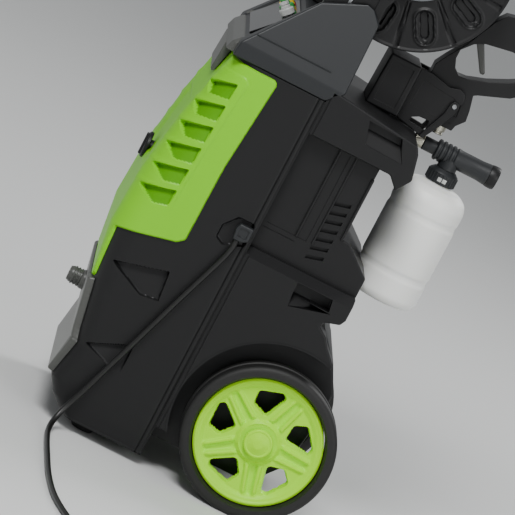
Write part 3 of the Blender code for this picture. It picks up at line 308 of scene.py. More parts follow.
# evenly spaced points on a Catmull-Rom curve through the route's points
def smoothRoute(route, spacing):
    points = [Vector(p) for p in route]
    points = [points[0] * 2 - points[1], *points, points[-1] * 2 - points[-2]]
    fine = []
    for a, b, c, d in zip(points, points[1:], points[2:], points[3:]):
        for step in range(24):
            t = step / 24
            fine.append(0.5 * (2 * b + (c - a) * t + (2 * a - 5 * b + 4 * c - d) * t * t
                               + (3 * b - a - 3 * c + d) * t ** 3))
    fine.append(points[-2])
    steps = np.array([0] + [(q - p).length for p, q in zip(fine, fine[1:])]).cumsum()
    count = max(2, round(steps[-1] / spacing))
    wanted = np.linspace(0, steps[-1], count + 1)
    xyz = np.array([list(p) for p in fine])
    return [Vector([np.interp(w, steps, xyz[:, k]) for k in range(3)]) for w in wanted]


# a round tube along points, capped
def sweep(points, radius, sides=20):
    rings = []
    up = Vector((0, 0, 1))
    for i, p in enumerate(points):
        direction = (points[min(i + 1, len(points) - 1)] - points[max(i - 1, 0)]).normalized()
        across = direction.cross(up)
        if i == 0:
            across = direction.orthogonal()
        across.normalize()
        up = across.cross(direction).normalized()
        r = radius[i] if hasattr(radius, "__len__") else radius
        turns = [math.tau * k / sides for k in range(sides)]
        rings.append([p + (across * math.cos(a) + up * math.sin(a)) * r for a in turns])
    return loft(rings)


# adds or removes solids and keeps the result as the object's mesh
def boolean(obj, operation, *cutters):
    made = []
    for bm in cutters:
        mesh = bpy.data.meshes.new("cutter")
        bm.to_mesh(mesh)
        bm.free()
        mesh.shade_smooth()
        mesh.set_sharp_from_angle(angle=math.radians(32))
        cutter = bpy.data.objects.new("cutter", mesh)
        bpy.context.scene.collection.objects.link(cutter)
        modifier = obj.modifiers.new("cut", "BOOLEAN")
        modifier.operation = operation
        modifier.solver = "EXACT"
        modifier.object = cutter
        made.append(cutter)
    bake(obj)
    for cutter in made:
        mesh = cutter.data
        bpy.data.objects.remove(cutter)
        bpy.data.meshes.remove(mesh)
    return obj


# makes the evaluated mesh the object's own and drops its modifiers
def bake(obj):
    bpy.context.view_layer.update()
    evaluated = obj.evaluated_get(bpy.context.evaluated_depsgraph_get())
    mesh = bpy.data.meshes.new_from_object(evaluated)
    old = obj.data
    obj.modifiers.clear()
    obj.data = mesh
    bpy.data.meshes.remove(old)
    mesh.name = obj.name
    return obj


# face-weighted normals, so that flat faces stay flat beside rounded edges
def evenNormals(obj, sharp=32):
    obj.data.shade_smooth()
    obj.data.set_sharp_from_angle(angle=math.radians(sharp))
    modifier = obj.modifiers.new("normals", "WEIGHTED_NORMAL")
    modifier.keep_sharp = True
    modifier.weight = 100
    return bake(obj)


# one object from several, each keeping its own material
def join(name, *objects):
    bm = bmesh.new()
    materials = []
    for obj in objects:
        start = len(bm.faces)
        bm.from_mesh(obj.data)
        bm.faces.ensure_lookup_table()
        for face in list(bm.faces)[start:]:
            mat = obj.data.materials[min(face.material_index, len(obj.data.materials) - 1)]
            if mat not in materials:
                materials.append(mat)
            face.material_index = materials.index(mat)
    mesh = bpy.data.meshes.new(name)
    bm.to_mesh(mesh)
    bm.free()
    for mat in materials:
        mesh.materials.append(mat)
    for obj in objects:
        old = obj.data
        bpy.data.objects.remove(obj)
        bpy.data.meshes.remove(old)
    made = bpy.data.objects.new(name, mesh)
    bpy.context.scene.collection.objects.link(made)
    return made


# rides on a body in place of CAD nodes, which it hides
def keep(obj, body, nodes):
    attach(obj, body)
    if nodes:
        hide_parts(*nodes)
    return obj


# copies an object around an upright axis with a node tree and makes the copies its mesh
def ringOfCopies(obj, count, centre, mat):
    tree = bpy.data.node_groups.new("ring_of_copies", "GeometryNodeTree")
    tree.interface.new_socket("Geometry", in_out="OUTPUT", socket_type="NodeSocketGeometry")
    names = {"Geometry": "Geometry", "Count": "Int", "Centre": "Vector", "Material": "Material"}
    sockets = {name: tree.interface.new_socket(name, in_out="INPUT", socket_type=f"NodeSocket{kind}")
               for name, kind in names.items()}
    given = addNode(tree, "NodeGroupInput").outputs
    back = addNode(tree, "ShaderNodeVectorMath", {"Scale": -1}, {0: given["Centre"]}, operation="SCALE")
    home = addNode(tree, "GeometryNodeTransform", None,
                   {"Geometry": given["Geometry"], "Translation": back.outputs["Vector"]})
    points = addNode(tree, "GeometryNodePoints", None, {"Count": given["Count"], "Position": given["Centre"]})
    index = addNode(tree, "GeometryNodeInputIndex")
    share = addNode(tree, "ShaderNodeMath", None, {0: index.outputs[0], 1: given["Count"]},
                    operation="DIVIDE")
    turn = addNode(tree, "ShaderNodeMath", {1: math.tau}, {0: share.outputs[0]}, operation="MULTIPLY")
    rotation = addNode(tree, "FunctionNodeAxisAngleToRotation", {"Axis": (0, 0, 1)},
                       {"Angle": turn.outputs[0]})
    copies = addNode(tree, "GeometryNodeInstanceOnPoints", None,
                     {"Points": points.outputs[0], "Instance": home.outputs[0],
                      "Rotation": rotation.outputs[0]})
    real = addNode(tree, "GeometryNodeRealizeInstances", None, {0: copies.outputs[0]})
    paint = addNode(tree, "GeometryNodeSetMaterial", None,
                    {"Geometry": real.outputs[0], "Material": given["Material"]})
    out = addNode(tree, "NodeGroupOutput")
    tree.links.new(paint.outputs[0], out.inputs[0])
    modifier = obj.modifiers.new("copies", "NODES")
    modifier.node_group = tree
    for name, value in (("Count", count), ("Centre", list(centre)), ("Material", mat)):
        modifier[sockets[name].identifier] = value
    return bake(obj)


# a sheet from a grid of points (rows, columns, 3); a cell with one point left out becomes a triangle
def gridMesh(points, keepPoint=None, closeAcross=False, shaded=None):
    rows, columns = points.shape[:2]
    bm = bmesh.new()
    verts = [[bm.verts.new(points[i, j]) for j in range(columns)] for i in range(rows)]
    for i in range(rows - 1):
        for j in range(columns if closeAcross else columns - 1):
            k = (j + 1) % columns
            corners = [(i, j), (i, k), (i + 1, k), (i + 1, j)]
            if keepPoint is not None:
                corners = [c for c in corners if keepPoint[c]]
            if len(corners) < 3:
                continue
            face = bm.faces.new([verts[a][b] for a, b in corners])
            # a cell with all its points shaded takes the second material, the painted shade
            if shaded is not None and all(shaded[c] for c in corners):
                face.material_index = 1
    loose = [v for v in bm.verts if not v.link_faces]
    bmesh.ops.delete(bm, geom=loose, context="VERTS")
    return bm


shot = {
    "target": (0.150, -0.022, 0.312), "distance": 5.0, "fieldHeight": 0.644, "sensorMm": 36,
    "azimuthDeg": 85, "elevationDeg": 10, "rollDeg": 27.7,
}


# a long lens at the machine's right, a little to the front, rolled as a hand-held shot of a tipped machine
def makeCamera():
    target, distance = Vector(shot["target"]), shot["distance"]
    azimuth, elevation, roll = (math.radians(shot[key]) for key in ("azimuthDeg", "elevationDeg", "rollDeg"))
    back = Vector((math.sin(azimuth) * math.cos(elevation), -math.cos(azimuth) * math.cos(elevation),
                   math.sin(elevation)))
    right = Vector((0, 0, 1)).cross(back).normalized()
    up = back.cross(right)
    data = bpy.data.cameras.new("camera")
    camera = bpy.data.objects.new("camera", data)
    bpy.context.scene.collection.objects.link(camera)
    turnedRight = right * math.cos(roll) + up * math.sin(roll)
    turnedUp = up * math.cos(roll) - right * math.sin(roll)
    placed = Matrix((turnedRight, turnedUp, back)).transposed().to_4x4()
    placed.translation = target + back * distance
    camera.matrix_world = placed
    data.sensor_width = shot["sensorMm"]
    data.lens = shot["sensorMm"] * distance / shot["fieldHeight"]
    data.clip_end = 100
    bpy.context.scene.camera = camera


def areaLight(name, place, target, size, power):
    data = bpy.data.lights.new(name, "AREA")
    data.shape = "DISK"
    data.size = size
    data.energy = power
    light = bpy.data.objects.new(name, data)
    bpy.context.scene.collection.objects.link(light)
    light.location = place
    light.rotation_mode = "QUATERNION"
    light.rotation_quaternion = (Vector(target) - Vector(place)).to_track_quat("-Z", "Y")


# each light: place, what it faces, diameter and watts
stage = {
    "floor": "#d6d7d6", "floorReach": 30, "floorZ": -0.0002, "sky": "#dfe1e3", "skyStrength": 0.5,
    "lights": {
        "key": ((2.2, -0.9, 2.9), (0, 0, 0.35), 1.2, 105),
        "fill": ((2.8, 1.9, 1.2), (0, 0, 0.35), 1.8, 30),
        "rim": ((-1.6, 1.6, 2.4), (0, 0, 0.45), 1.2, 45),
    },
}


def makeStage():
    pale = bpy.data.materials.new("pale_floor")
    pale.use_nodes = True
    pale.node_tree.nodes["Principled BSDF"].inputs["Base Color"].default_value = linear(stage["floor"])
    pale.node_tree.nodes["Principled BSDF"].inputs["Roughness"].default_value = 0.9
    reach, z = stage["floorReach"], stage["floorZ"]
    corners = [(-reach, -reach, z), (reach, -reach, z), (reach, reach, z), (-reach, reach, z)]
    bm = bmesh.new()
    bm.faces.new([bm.verts.new(corner) for corner in corners])
    floor = toObject("floor", bm, pale)
    world = bpy.data.worlds.new("world")
    world.use_nodes = True
    world.node_tree.nodes["Background"].inputs["Color"].default_value = linear(stage["sky"])
    world.node_tree.nodes["Background"].inputs["Strength"].default_value = stage["skyStrength"]
    bpy.context.scene.world = world
    for name, light in stage["lights"].items():
        areaLight(name, *light)


makeCamera()
makeStage()
print("stage: camera, floor and light")

lead = {
    "diameter": 0.0075, "pitch": 0.0076, "coilCentre": Vector((0.660, 0.030, 0.0005)),
    "coilRadius": 0.0475, "turnsAcross": 5, "layers": 3, "startDeg": -70, "climbDeg": 130, "rampDeg": 200,
    "route": [
        (0.1465, -0.0550, 0.3187), (0.1466, -0.0556, 0.3080), (0.1470, -0.0590, 0.2930),
              (0.1480, -0.0690, 0.2640),
        (0.1480, -0.0860, 0.2150), (0.1485, -0.1050, 0.1580), (0.1495, -0.1240, 0.1020),
              (0.1520, -0.1400, 0.0560),
        (0.1575, -0.1510, 0.0280), (0.1700, -0.1565, 0.0110), (0.1950, -0.1580, 0.0045),
              (0.2400, -0.1565, 0.0042),
        (0.3000, -0.1525, 0.0042), (0.4000, -0.1440, 0.0042), (0.4850, -0.1290, 0.0042),
              (0.5600, -0.1000, 0.0042),
        (0.6280, -0.0572, 0.0042), (0.6842, -0.0363, 0.0042),
    ],
}


# the wound turns: a spiral in, one out above it and one more in, then up to the plug on top
def coilPoints():
    pitch, centre = lead["pitch"], lead["coilCentre"]
    lanes = lead["turnsAcross"] - 1
    inner = lead["coilRadius"] - pitch * lanes / 2
    outer = inner + pitch * lanes
    beside = pitch / 2 + lead["diameter"] / 2 + 0.0003
    plugLow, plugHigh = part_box("mains_plug")
    stepDeg, angleDeg = 10, lead["startDeg"]
    places = []
    for layer in range(lead["layers"]):
        last = layer == lead["layers"] - 1
        endDeg = angleDeg + 360 * lanes
        stopDeg = math.ceil(endDeg / 360) * 360 if last else endDeg + lead["climbDeg"]
        startDeg = angleDeg
        while angleDeg < stopDeg - 0.01:
            angleDeg = min(angleDeg + stepDeg, stopDeg)
            share = min(1, (angleDeg - startDeg) / (endDeg - startDeg))
            radius = outer - share * (outer - inner) if layer % 2 == 0 else inner + share * (outer - inner)
            if layer == 0:
                radius += beside * float(1 - smoothStep(0, 130, angleDeg - startDeg))
            height = pitch * (layer + 0.5)
            if last:
                target = (plugLow.z + plugHigh.z) / 2 - centre.z
                height += (target - height) * float(smoothStep(stopDeg - lead["rampDeg"], stopDeg, angleDeg))
            else:
                height += pitch * float(smoothStep(endDeg, stopDeg, angleDeg))
            angle = math.radians(angleDeg)
            places.append(centre + Vector((radius * math.cos(angle), radius * math.sin(angle), height)))
    return places


def mainsLead():
    points = smoothRoute(lead["route"] + coilPoints(), lead["diameter"] * 1.3)
    steps = [(b - a).length for a, b in zip(points, points[1:])]
    print(f"lead length {sum(steps):.3f}, ends at {[round(x, 4) for x in points[-1]]}")
    curve = bpy.data.curves.new("mains_lead_whole", "CURVE")
    curve.dimensions = "3D"
    curve.bevel_depth = lead["diameter"] / 2
    curve.bevel_resolution = 3
    curve.use_fill_caps = True
    spline = curve.splines.new("POLY")
    spline.points.add(len(points) - 1)
    for point, where in zip(spline.points, points):
        point.co = (*where, 1)
    curve.materials.append(leadPlastic)
    obj = bpy.data.objects.new("mains_lead_whole", curve)
    bpy.context.scene.collection.objects.link(obj)
    return keep(obj, "case", ["mains_lead", "lead_coil"]), sum(steps)


# a moulded two-pin plug with a finger grip and a strain relief
def mainsPlug():
    low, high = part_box("mains_plug")
    middle = (low + high) / 2
    length = high.y - low.y
    body = []
    for share, width, height in ((0.0, 0.006, 0.006), (0.08, 0.009, 0.0085), (0.30, 0.011, 0.009),
                                 (0.42, 0.0155, 0.011),
                                 (0.55, 0.0168, 0.0125), (0.86, 0.0168, 0.0125), (0.90, 0.0155, 0.0112)):
        ring = []
        for k in range(28):
            a = math.tau * k / 28
            c, s = math.cos(a), math.sin(a)
            grow = (abs(c) ** 3 + abs(s) ** 3) ** (-1 / 3)
            ring.append((middle.x + width * c * grow, low.y + length * share, middle.z + height * s * grow))
        body.append(ring)
    plug = toObject("plug_body", loft(body), leadPlastic)
    pins = []
    for side in (1, -1):
        pin = rod(0.0022, length * 0.88, length, (middle.x + side * 0.0095, low.y, middle.z), "Y", 16)
        pins.append(toObject("pin", pin, nickelBrass))
    made = join("mains_plug_moulded", plug, *pins)
    return keep(made, "case", ["mains_plug"])


# the strap that holds the wound turns together
def coilTie():
    pitch, centre = lead["pitch"], lead["coilCentre"]
    reach = (pitch * (lead["turnsAcross"] - 1) + lead["diameter"]) / 2
    top = pitch * (lead["layers"] - 1) + lead["diameter"]
    thick, width = 0.0012, 0.009
    outline = [(-reach - thick, -thick * 0.3), (reach + thick, -thick * 0.3), (reach + thick, top + thick),
               (-reach - thick, top + thick)]
    inside = [(-reach, 0), (reach, 0), (reach, top), (-reach, top)]
    angle = math.radians(-150)
    out = Vector((math.cos(angle), math.sin(angle), 0))
    across = Vector((-out.y, out.x, 0))
    rings = []
    for points, side in ((outline, -1), (outline, 1), (inside, 1), (inside, -1)):
        middle = centre + across * (side * width / 2)
        rings.append([middle + out * (lead["coilRadius"] + r) + Vector((0, 0, h)) for r, h in points])
    bm = loft(rings + [rings[0]], closed=False)
    bmesh.ops.remove_doubles(bm, verts=bm.verts, dist=1e-6)
    bmesh.ops.recalc_face_normals(bm, faces=bm.faces)
    tie = toObject("coil_tie", bm, softRubber)
    return keep(tie, "case", [])


leadObject, leadLength = mainsLead()
plugObject = mainsPlug()
tieObject = coilTie()
print("stage: mains lead")

caseLevels = np.array([
    (0.014, -0.148, 0.136, 0.016), (0.036, -0.172, 0.139, 0.020), (0.056, -0.184, 0.140, 0.022),
                       (0.108, -0.176, 0.140, 0.022),
    (0.190, -0.192, 0.140, 0.030), (0.262, -0.201, 0.140, 0.036), (0.340, -0.197, 0.140, 0.040),
                       (0.428, -0.183, 0.140, 0.040),
    (0.524, -0.158, 0.140, 0.036),
])


# front, half width and corner radius of the case at a height
def caseSection(z):
    heights = caseLevels[:, 0]
    return [np.interp(z, heights, caseLevels[:, k]) for k in (1, 2, 3)]


# a point of the case's right half from its unrolled place: y runs on round the corner and over the front
def casePoint(y, z, outwards):
    front, half, radius = caseSection(z)
    start = front + radius
    turn = radius * math.pi / 2
    past = start - y
    angle = np.clip(past / radius, 0, math.pi / 2)
    across = np.clip(past - turn, 0, None)
    x = half - radius + (radius + outwards) * np.cos(angle) - across
    x = np.where(past < 0, half + outwards, x)
    depth = np.where(past < 0, y, start - (radius + outwards) * np.sin(angle))
    return np.stack([x, depth, z], axis=-1)


# the unrolled place of the case's middle at a height
def frontMiddle(z):
    front, half, radius = caseSection(z)
    return front + radius - radius * math.pi / 2 - (half - radius)


# moves the grid's points that lie near a shape's edge onto it, so that the edge is smooth
def snapped(y, z, distance, reach):
    step = 0.05 * mm
    here = distance(y, z)
    slopeY = (distance(y + step, z) - distance(y - step, z)) / (2 * step)
    slopeZ = (distance(y, z + step) - distance(y, z - step)) / (2 * step)
    near = np.abs(here) < reach
    return np.where(near, y - here * slopeY, y), np.where(near, z - here * slopeZ, z)


# a sheet over the case: fine lines on the side and the corner, few over the flat front, mirrored
def caseGrid(sideLines, heights, height, step, edges=(), kept=None, shaded=None):
    heights = np.asarray(heights)
    middle = frontMiddle(heights)
    last = sideLines[-1]
    front = last + (middle[:, None] - last) * np.linspace(0, 1, 9)[None, 1:]
    y = np.concatenate([np.repeat(np.asarray(sideLines)[None, :], len(heights), axis=0), front], axis=1)
    z = np.repeat(heights[:, None], y.shape[1], axis=1)
    for distance in edges:
        fine = slice(0, len(sideLines) - 1)
        y[:, fine], z[:, fine] = snapped(y[:, fine], z[:, fine], distance, 0.72 * step)
    right = casePoint(y, z, height(y, z))
    left = right[:, -2::-1] * np.array([-1, 1, 1])

    def mirrored(mask):
        return np.concatenate([mask, mask[:, -2::-1]], axis=1)

    inside = None if kept is None else mirrored(kept(y, z) < 0.03 * mm)
    # cells that shaded marks get the second material, a painted shade
    dark = None if shaded is None else mirrored(shaded(y, z))
    return gridMesh(np.concatenate([right, left], axis=1), inside, shaded=dark)


# the signed distance to a rounded polygon as a function of grids of y and z
def distanceTo(polygon, radius):
    def distance(y, z):
        flat = np.stack([np.ravel(y), np.ravel(z)], axis=1)
        return roundedDistance(flat, polygon, radius).reshape(np.shape(y))
    return distance


louvres = {"count": 6, "topZ": 0.4796, "pitch": 0.0307, "depth": 0.0085, "flare": 1.2 * mm}


# one louvre pocket in the side's unrolled view: pointed in front, square behind
def louvrePolygon(i):
    share = i / (louvres["count"] - 1)
    z = louvres["topZ"] - louvres["pitch"] * i
    tip, back = -0.190 - 0.011 * share, -0.141 - 0.008 * share
    lowFront = -0.173 + 0.003 * share
    return [(tip, z), (back, z + 0.0150), (back - 0.0015, z - 0.0089), (lowFront, z - 0.0143)]


cover = {"step": 1.1 * mm, "lift": 4.0 * mm, "roll": 4.3 * mm, "rollWidth": 2.6 * mm, "panelLift": 1.2 * mm,
         "panDepth": 2.6 * mm, "cornerRadius": 7.5 * mm, "wallWidth": 2.0 * mm}
coverTop = frontTop - 0.004
coverOutline = [(-0.400, 0.1905), (-0.1990, 0.1905), (-0.2000, 0.262), (-0.120, 0.281), (-0.1110, 0.2885),
                (-0.1105, 0.343),
                (-0.1095, 0.394), (-0.0985, coverTop - 0.002), (-0.106, coverTop), (-0.400, coverTop)]
coverEdge = distanceTo(coverOutline, cover["cornerRadius"])
louvreEdges = [distanceTo(louvrePolygon(i), 0.0020) for i in range(louvres["count"])]


# how far the green cover stands off the case: rounded edges, a raised panel and the louvre pockets
def coverHeight(y, z):
    inward = np.clip(-coverEdge(y, z) / cover["rollWidth"], 0, 1)
    lift = cover["lift"] - cover["roll"] * (1 - np.sqrt(1 - (1 - inward) ** 2))
    panel = distanceTo([(-0.206, 0.502), (-0.136, 0.5055), (-0.1315, 0.500), (-0.140, 0.400),
                        (-0.1475, 0.300), (-0.216, 0.296)], 0.006)
    fade = smoothStep(0.305, 0.345, z) * smoothStep(-0.206, -0.180, y)
    lift = lift + cover["panelLift"] * (1 - smoothStep(-0.8 * mm, 0.8 * mm, panel(y, z))) * fade
    for i, edge in enumerate(louvreEdges):
        polygon = louvrePolygon(i)
        inside = edge(y, z)
        across = (y - polygon[0][0]) / (polygon[1][0] - polygon[0][0])
        down = (polygon[0][1] + 0.0150 * across - z) / 0.024
        floor = np.clip(1.15 - 0.30 * across - 0.75 * down, 0.22, 1)
        lift = lift - louvres["depth"] * (1 - smoothStep(-cover["wallWidth"], 0, inside)) * floor
        flare = np.exp(-((z - polygon[0][1] - 0.0075 * (across + 0.2) - 0.002) / 0.0042) ** 2)
        reach = smoothStep(-0.55, -0.05, across) * (1 - smoothStep(0.1, 0.75, across))
        lift = lift + louvres["flare"] * flare * reach * (inside > 0)
    fromMiddle = y - frontMiddle(z)
    pan = distanceTo([(-0.05, 0.346), (0.062, 0.346), (0.070, 0.442), (-0.05, 0.442)], 0.010)
    return lift - cover["panDepth"] * (1 - smoothStep(-6 * mm, 0, pan(fromMiddle, z)))


def fineLines(start, stop, step):
    return np.linspace(start, stop, max(2, round(abs(stop - start) / step)) + 1)


# the cells inside a louvre pocket, which take the darker green as painted shade
def inLouvre(y, z):
    return np.min([edge(y, z) for edge in louvreEdges], axis=0) < -0.2 * mm


def greenCover():
    side = fineLines(-0.094, -0.228, cover["step"])
    heights = fineLines(0.1885, 0.5215, cover["step"])
    edges = [*louvreEdges, coverEdge]
    bm = caseGrid(side, heights, coverHeight, cover["step"], edges, coverEdge, inLouvre)
    made = toObject("green_cover", bm, greenPlastic, sharp=50)
    # the second slot holds the darker green: painted shade on the louvre floors
    made.data.materials.append(paintedShadeGreen)
    return keep(made, "case", ["front_cover"])


# points of the flat side in (y, z) millimetres
def sidePolygon(*places):
    return [(y * mm, z * mm) for y, z in places]


shellPanel = {"recess": 3.5 * mm, "recessSlope": 6.5 * mm, "facet": 9 * mm, "socket": 5 * mm,
              "groove": 1.5 * mm,
              "seam": 2.6 * mm, "foot": 2.5 * mm, "underCover": 8 * mm}
recessEdge = distanceTo(sidePolygon((-183.5, 224), (-110, 244), (-106, 203), (-131, 199.5)), 0.0012)
facetEdge = distanceTo(sidePolygon((-165, 114), (-113.5, 137), (-107, 133.5), (-107, 97), (-125, 100.5)),
                       0.0008)
socketEdge = distanceTo(sidePolygon((-80, 328), (-65, 346), (-41.5, 346), (-41.5, 314), (-68, 304),
                                    (-80, 310)), 0.005)


# pressed shapes of the black side panel: a recess, a bright facet, a groove beside the seam
def shellHeight(y, z):
    slope = np.clip((z - 0.199) / 0.045, 0, 1)
    recessDepth = shellPanel["recess"] + shellPanel["recessSlope"] * slope
    lift = -recessDepth * (1 - smoothStep(-1.3 * mm, 0, recessEdge(y, z)))
    slant = np.clip((z - 0.096 - 0.10 * (y + 0.136)) / 0.040, 0, 1)
    lift = lift - shellPanel["facet"] * slant * (1 - smoothStep(-1.2 * mm, 0, facetEdge(y, z)))
    lift = lift - shellPanel["socket"] * (1 - smoothStep(-1.6 * mm, 0, socketEdge(y, z)))
    lift = lift - shellPanel["groove"] * np.exp(-((y + 0.0445) / (1.0 * mm)) ** 4)
    lift = lift - shellPanel["seam"] * smoothStep(-0.0395, -0.0368, y)
    lift = lift - shellPanel["foot"] * (1 - smoothStep(0.014, 0.019, z))
    return lift - shellPanel["underCover"] * smoothStep(4 * mm, 9 * mm, -coverEdge(y, z))


def blackFront():
    step = 1.35 * mm
    side = fineLines(-0.0362, -0.222, step)
    bm = caseGrid(side, fineLines(0.014, 0.524, step), shellHeight, step, [recessEdge, facetEdge, socketEdge])
    wall = toObject("case_front_wall", bm, blackPlastic, sharp=50)
    caps = []
    for z in (0.014, 0.524):
        y = np.concatenate([fineLines(-0.0362, -0.120, 8 * mm), np.linspace(-0.122, -0.190, 26),
                            [frontMiddle(z)]])
        right = casePoint(y, np.full(len(y), z), np.full(len(y), -2.4 * mm if z < 0.1 else 0.0))
        left = right[-2::-1] * np.array([-1, 1, 1])
        cap = bmesh.new()
        cap.faces.new([cap.verts.new(p) for p in np.concatenate([right, left])])
        if z < 0.1:
            bmesh.ops.reverse_faces(cap, faces=cap.faces)
        caps.append(toObject("case_front_cap", cap, blackPlastic))
    made = join("front_shell_moulded", wall, *caps)
    return keep(made, "case", ["front_shell"])


bumperEdge = distanceTo([(-0.400, 0.0575), (-0.1905, 0.0575), (-0.1815, 0.089), (-0.1765, 0.108),
                         (-0.1835, 0.125), (-0.1930, 0.175),
                         (-0.1965, 0.1895), (-0.400, 0.1895)], 0.002)


def bumperHeight(y, z):
    inward = np.clip(-bumperEdge(y, z) / (4 * mm), 0, 1)
    lift = 8.0 * mm - 8.4 * mm * (1 - np.sqrt(1 - (1 - inward) ** 2))
    return lift - 1.0 * mm * np.exp(-((z - 0.110) / (1.2 * mm)) ** 4)


def frontBumper():
    step = 1.1 * mm
    side = fineLines(-0.168, -0.222, step)
    bm = caseGrid(side, fineLines(0.0560, 0.1910, step), bumperHeight, step, [bumperEdge], bumperEdge)
    bumper = toObject("front_bumper_moulded", bm, trimPlastic, sharp=50)
    return keep(bumper, "case", ["front_bumper"])


greenCover()
blackFront()
frontBumper()
print("stage: case front")

# the wheel side of the case: core, waist, top block and lower cheeks, hollow for the drive
def rearShell():
    core = sidePolygon((-35.8, 37), (104, 37), (137, 77), (149, 150), (149, 190), (131, 225), (100, 262),
                       (94, 272), (110, 280),
                       (110, 317), (66, 337), (66, 504), (-35.8, 504))
    waist = sidePolygon((-35.8, 307), (115, 307), (115, 343), (77, 374), (66, 375), (66, 494), (-35.8, 494))
    upper = sidePolygon((-35.8, 479), (78, 479), (92.5, 464), (106, 484), (98, 517), (92.5, 527),
                        (-35.8, 542))
    lower = sidePolygon((-35.8, 57), (88, 57), (128, 229), (111.5, 246), (103, 258), (90, 267), (91.5, 274),
                        (111, 280),
                        (115, 288), (115, 317), (-35.8, 317))
    shell = toObject("rear_shell_moulded", slab(core, -0.104, 0.104, 2.5 * mm), blackPlastic)
    boolean(shell, "UNION", slab(waist, -0.116, 0.116, 2.0 * mm),
            slab(upper, -halfWidth, halfWidth, 2.4 * mm),
            slab(lower, -halfWidth, halfWidth, 2.4 * mm))
    arch, archRadius = (0, 0.092, 0.107), 0.122
    cutters = []
    for side in (1, -1):
        low, high = sorted((side * 0.104, side * 0.160))
        cutters.append(rod(archRadius, low, high, arch, "X", 96))
        lip = turned([(archRadius - 0.01, side * 0.1415), (archRadius + 0.0035, side * 0.1415),
                      (archRadius + 0.0035, side * 0.1385),
                      (archRadius - 0.01, side * 0.1385)], arch, "X", 96, closed=True)
        cutters.append(lip)
    boolean(shell, "DIFFERENCE", *cutters)
    cutters = [slab([(max(y - 0.02 if y < -0.02 else y, -0.06), z) for y, z in inset(core, 3 * mm)], -0.101,
                    0.101),
               rod(0.0492, 0.3115, 0.56, (0, bottleY, 0), "Z", 64),
               block((-0.019, 0.070, cannonZ - 0.022), (0.019, 0.126, 0.562)),
               rod(0.0086, -0.2, 0.2, wheelCentre, "X", 32)]
    boolean(shell, "DIFFERENCE", *cutters)
    cutters = []

    def pocket(side, outline, depth, half=halfWidth):
        cutters.append(slab(outline, *sorted((side * (half - depth * mm), side * (half + 2 * mm)))))

    def wedge(side, *points):
        cutters.append(hull([(side * x * mm, y * mm, z * mm) for x, y, z in points]))

    for side in (1, -1):
        pocket(side, sidePolygon((39, 288.5), (91, 288.5), (88, 305), (39, 305)), 20)
        wedge(side, (142, 39, 289), (142, 95, 287), (142, 41, 272), (122, 39, 289), (122, 90, 288),
              (138, 41, 273))
        wedge(side, (142, -37, 304), (142, 116, 304), (142, 116, 320), (142, -37, 320), (125, -37, 318),
              (125, 116, 318))
        wedge(side, (142, 24, 528.5), (142, 71, 526.5), (142, 85.5, 496), (142, 33.5, 498), (126, 25, 528),
              (126, 70, 526), (126, 73, 516),
              (126, 27, 517), (139, 33, 500), (139, 84, 498))
        pocket(side, sidePolygon((-38, 57), (-31, 57), (-31, 540), (-38, 540)), 3)
        for k in range(7):
            z = 333 + 12.6 * k
            pocket(side, sidePolygon((34, z), (56, z + 6), (56, z + 11), (34, z + 5)), 5, 0.116)
        pocket(side, sidePolygon((-32, 345), (12, 345), (12, 346.6), (-32, 346.6)), 1.2, 0.116)
        pocket(side, sidePolygon((-30, 352), (26, 352), (26, 476), (-30, 476)), 1.4, 0.116)
    boolean(shell, "DIFFERENCE", *cutters)
    ribs = []
    for side in (1, -1):
        for y in (11.5, 34):
            low, high = sorted((side * 0.112, side * 0.1185))
            ribs.append(slab(sidePolygon((y - 1.3, 352), (y + 1.3, 352), (y + 1.3, 480), (y - 1.3, 480)),
                             low, high, 0.8 * mm, 2))
        low, high = sorted((side * 0.108, side * 0.1200))
        ribs.append(slab(sidePolygon((63, 374), (66.4, 374), (66.4, 461), (63, 461)), low, high, 0.8 * mm, 2))
    boolean(shell, "UNION", *ribs)
    evenNormals(shell)
    return keep(shell, "case", ["rear_shell"])


# two leaning cheeks with a console slope and a flat deck between them
def topCover():
    back = -0.0185
    pieces = []
    cheek = [(-166, 524.5), (-164, 544), (-109, 611), (-96, 630), (-42, 654), (-32, 651), (-18.5, 636),
             (-18.5, 542.5),
             (-36, 542.5), (-38, 524.5)]

    def leaning(z):
        return halfWidth - 0.030 * smoothLean(z)

    def smoothLean(z):
        return max(0, (z - 0.5465) / 0.1075)

    for side in (1, -1):
        inner = side * (0.1085)
        points = []
        for y, z in sidePolygon(*cheek):
            points.append((side * leaning(z), y, z))
            points.append((inner, y, z))
        cheekObject = toObject("cheek", hull(points, 2.2 * mm, 3), greyPlastic)
        tower = toObject("tower",
                         hull([(side * 0.136, -0.0400, 0.545), (side * 0.136, back, 0.545),
                               (side * 0.109, -0.0400, 0.650),
                                        (side * 0.109, back, 0.637), (side * 0.100, -0.0400, 0.545),
                               (side * 0.100, back, 0.545),
                                        (side * 0.1055, -0.0300, 0.6515), (side * 0.100, -0.0400, 0.648),
                               (side * 0.100, back, 0.637)],
                                       1.2 * mm, 2), greyPlastic)
        pieces += [cheekObject, tower]
        step = slab(sidePolygon((-150, 561), (-148, 561), (-47, 561), (-47, 559.6), (-150, 559.6)),
                    *sorted((side * 0.1345, side * 0.1368)))
        pieces.append(toObject("step", step, greyPlastic))
    deck = sidePolygon((-161.5, 524.5), (-160, 546), (-104, 604), (-18.5, 604), (-18.5, 542.5),
                       (-36, 542.5), (-38, 524.5))
    middle = toObject("deck", slab(deck, -0.1095, 0.1095, 1.2 * mm, 2), greyPlastic)
    along, normal, slopeMiddle = consoleFrame()
    holes = [rod(0.0075, -0.030, 0.030, slopeMiddle + along * 0.018 + Vector((x, 0, 0)), normal,
                 32) for x in nozzlePlaces]
    holes += [rod(0.0100, 0.5424, 0.620, (side * legX, legY, 0), "Z", 32) for side in (1, -1)]
    boolean(middle, "DIFFERENCE", *holes)
    for obj in [*pieces, middle]:
        evenNormals(obj)
    made = join("top_cover_moulded", middle, *pieces)
    keep(made, "case", ["top_cover"])


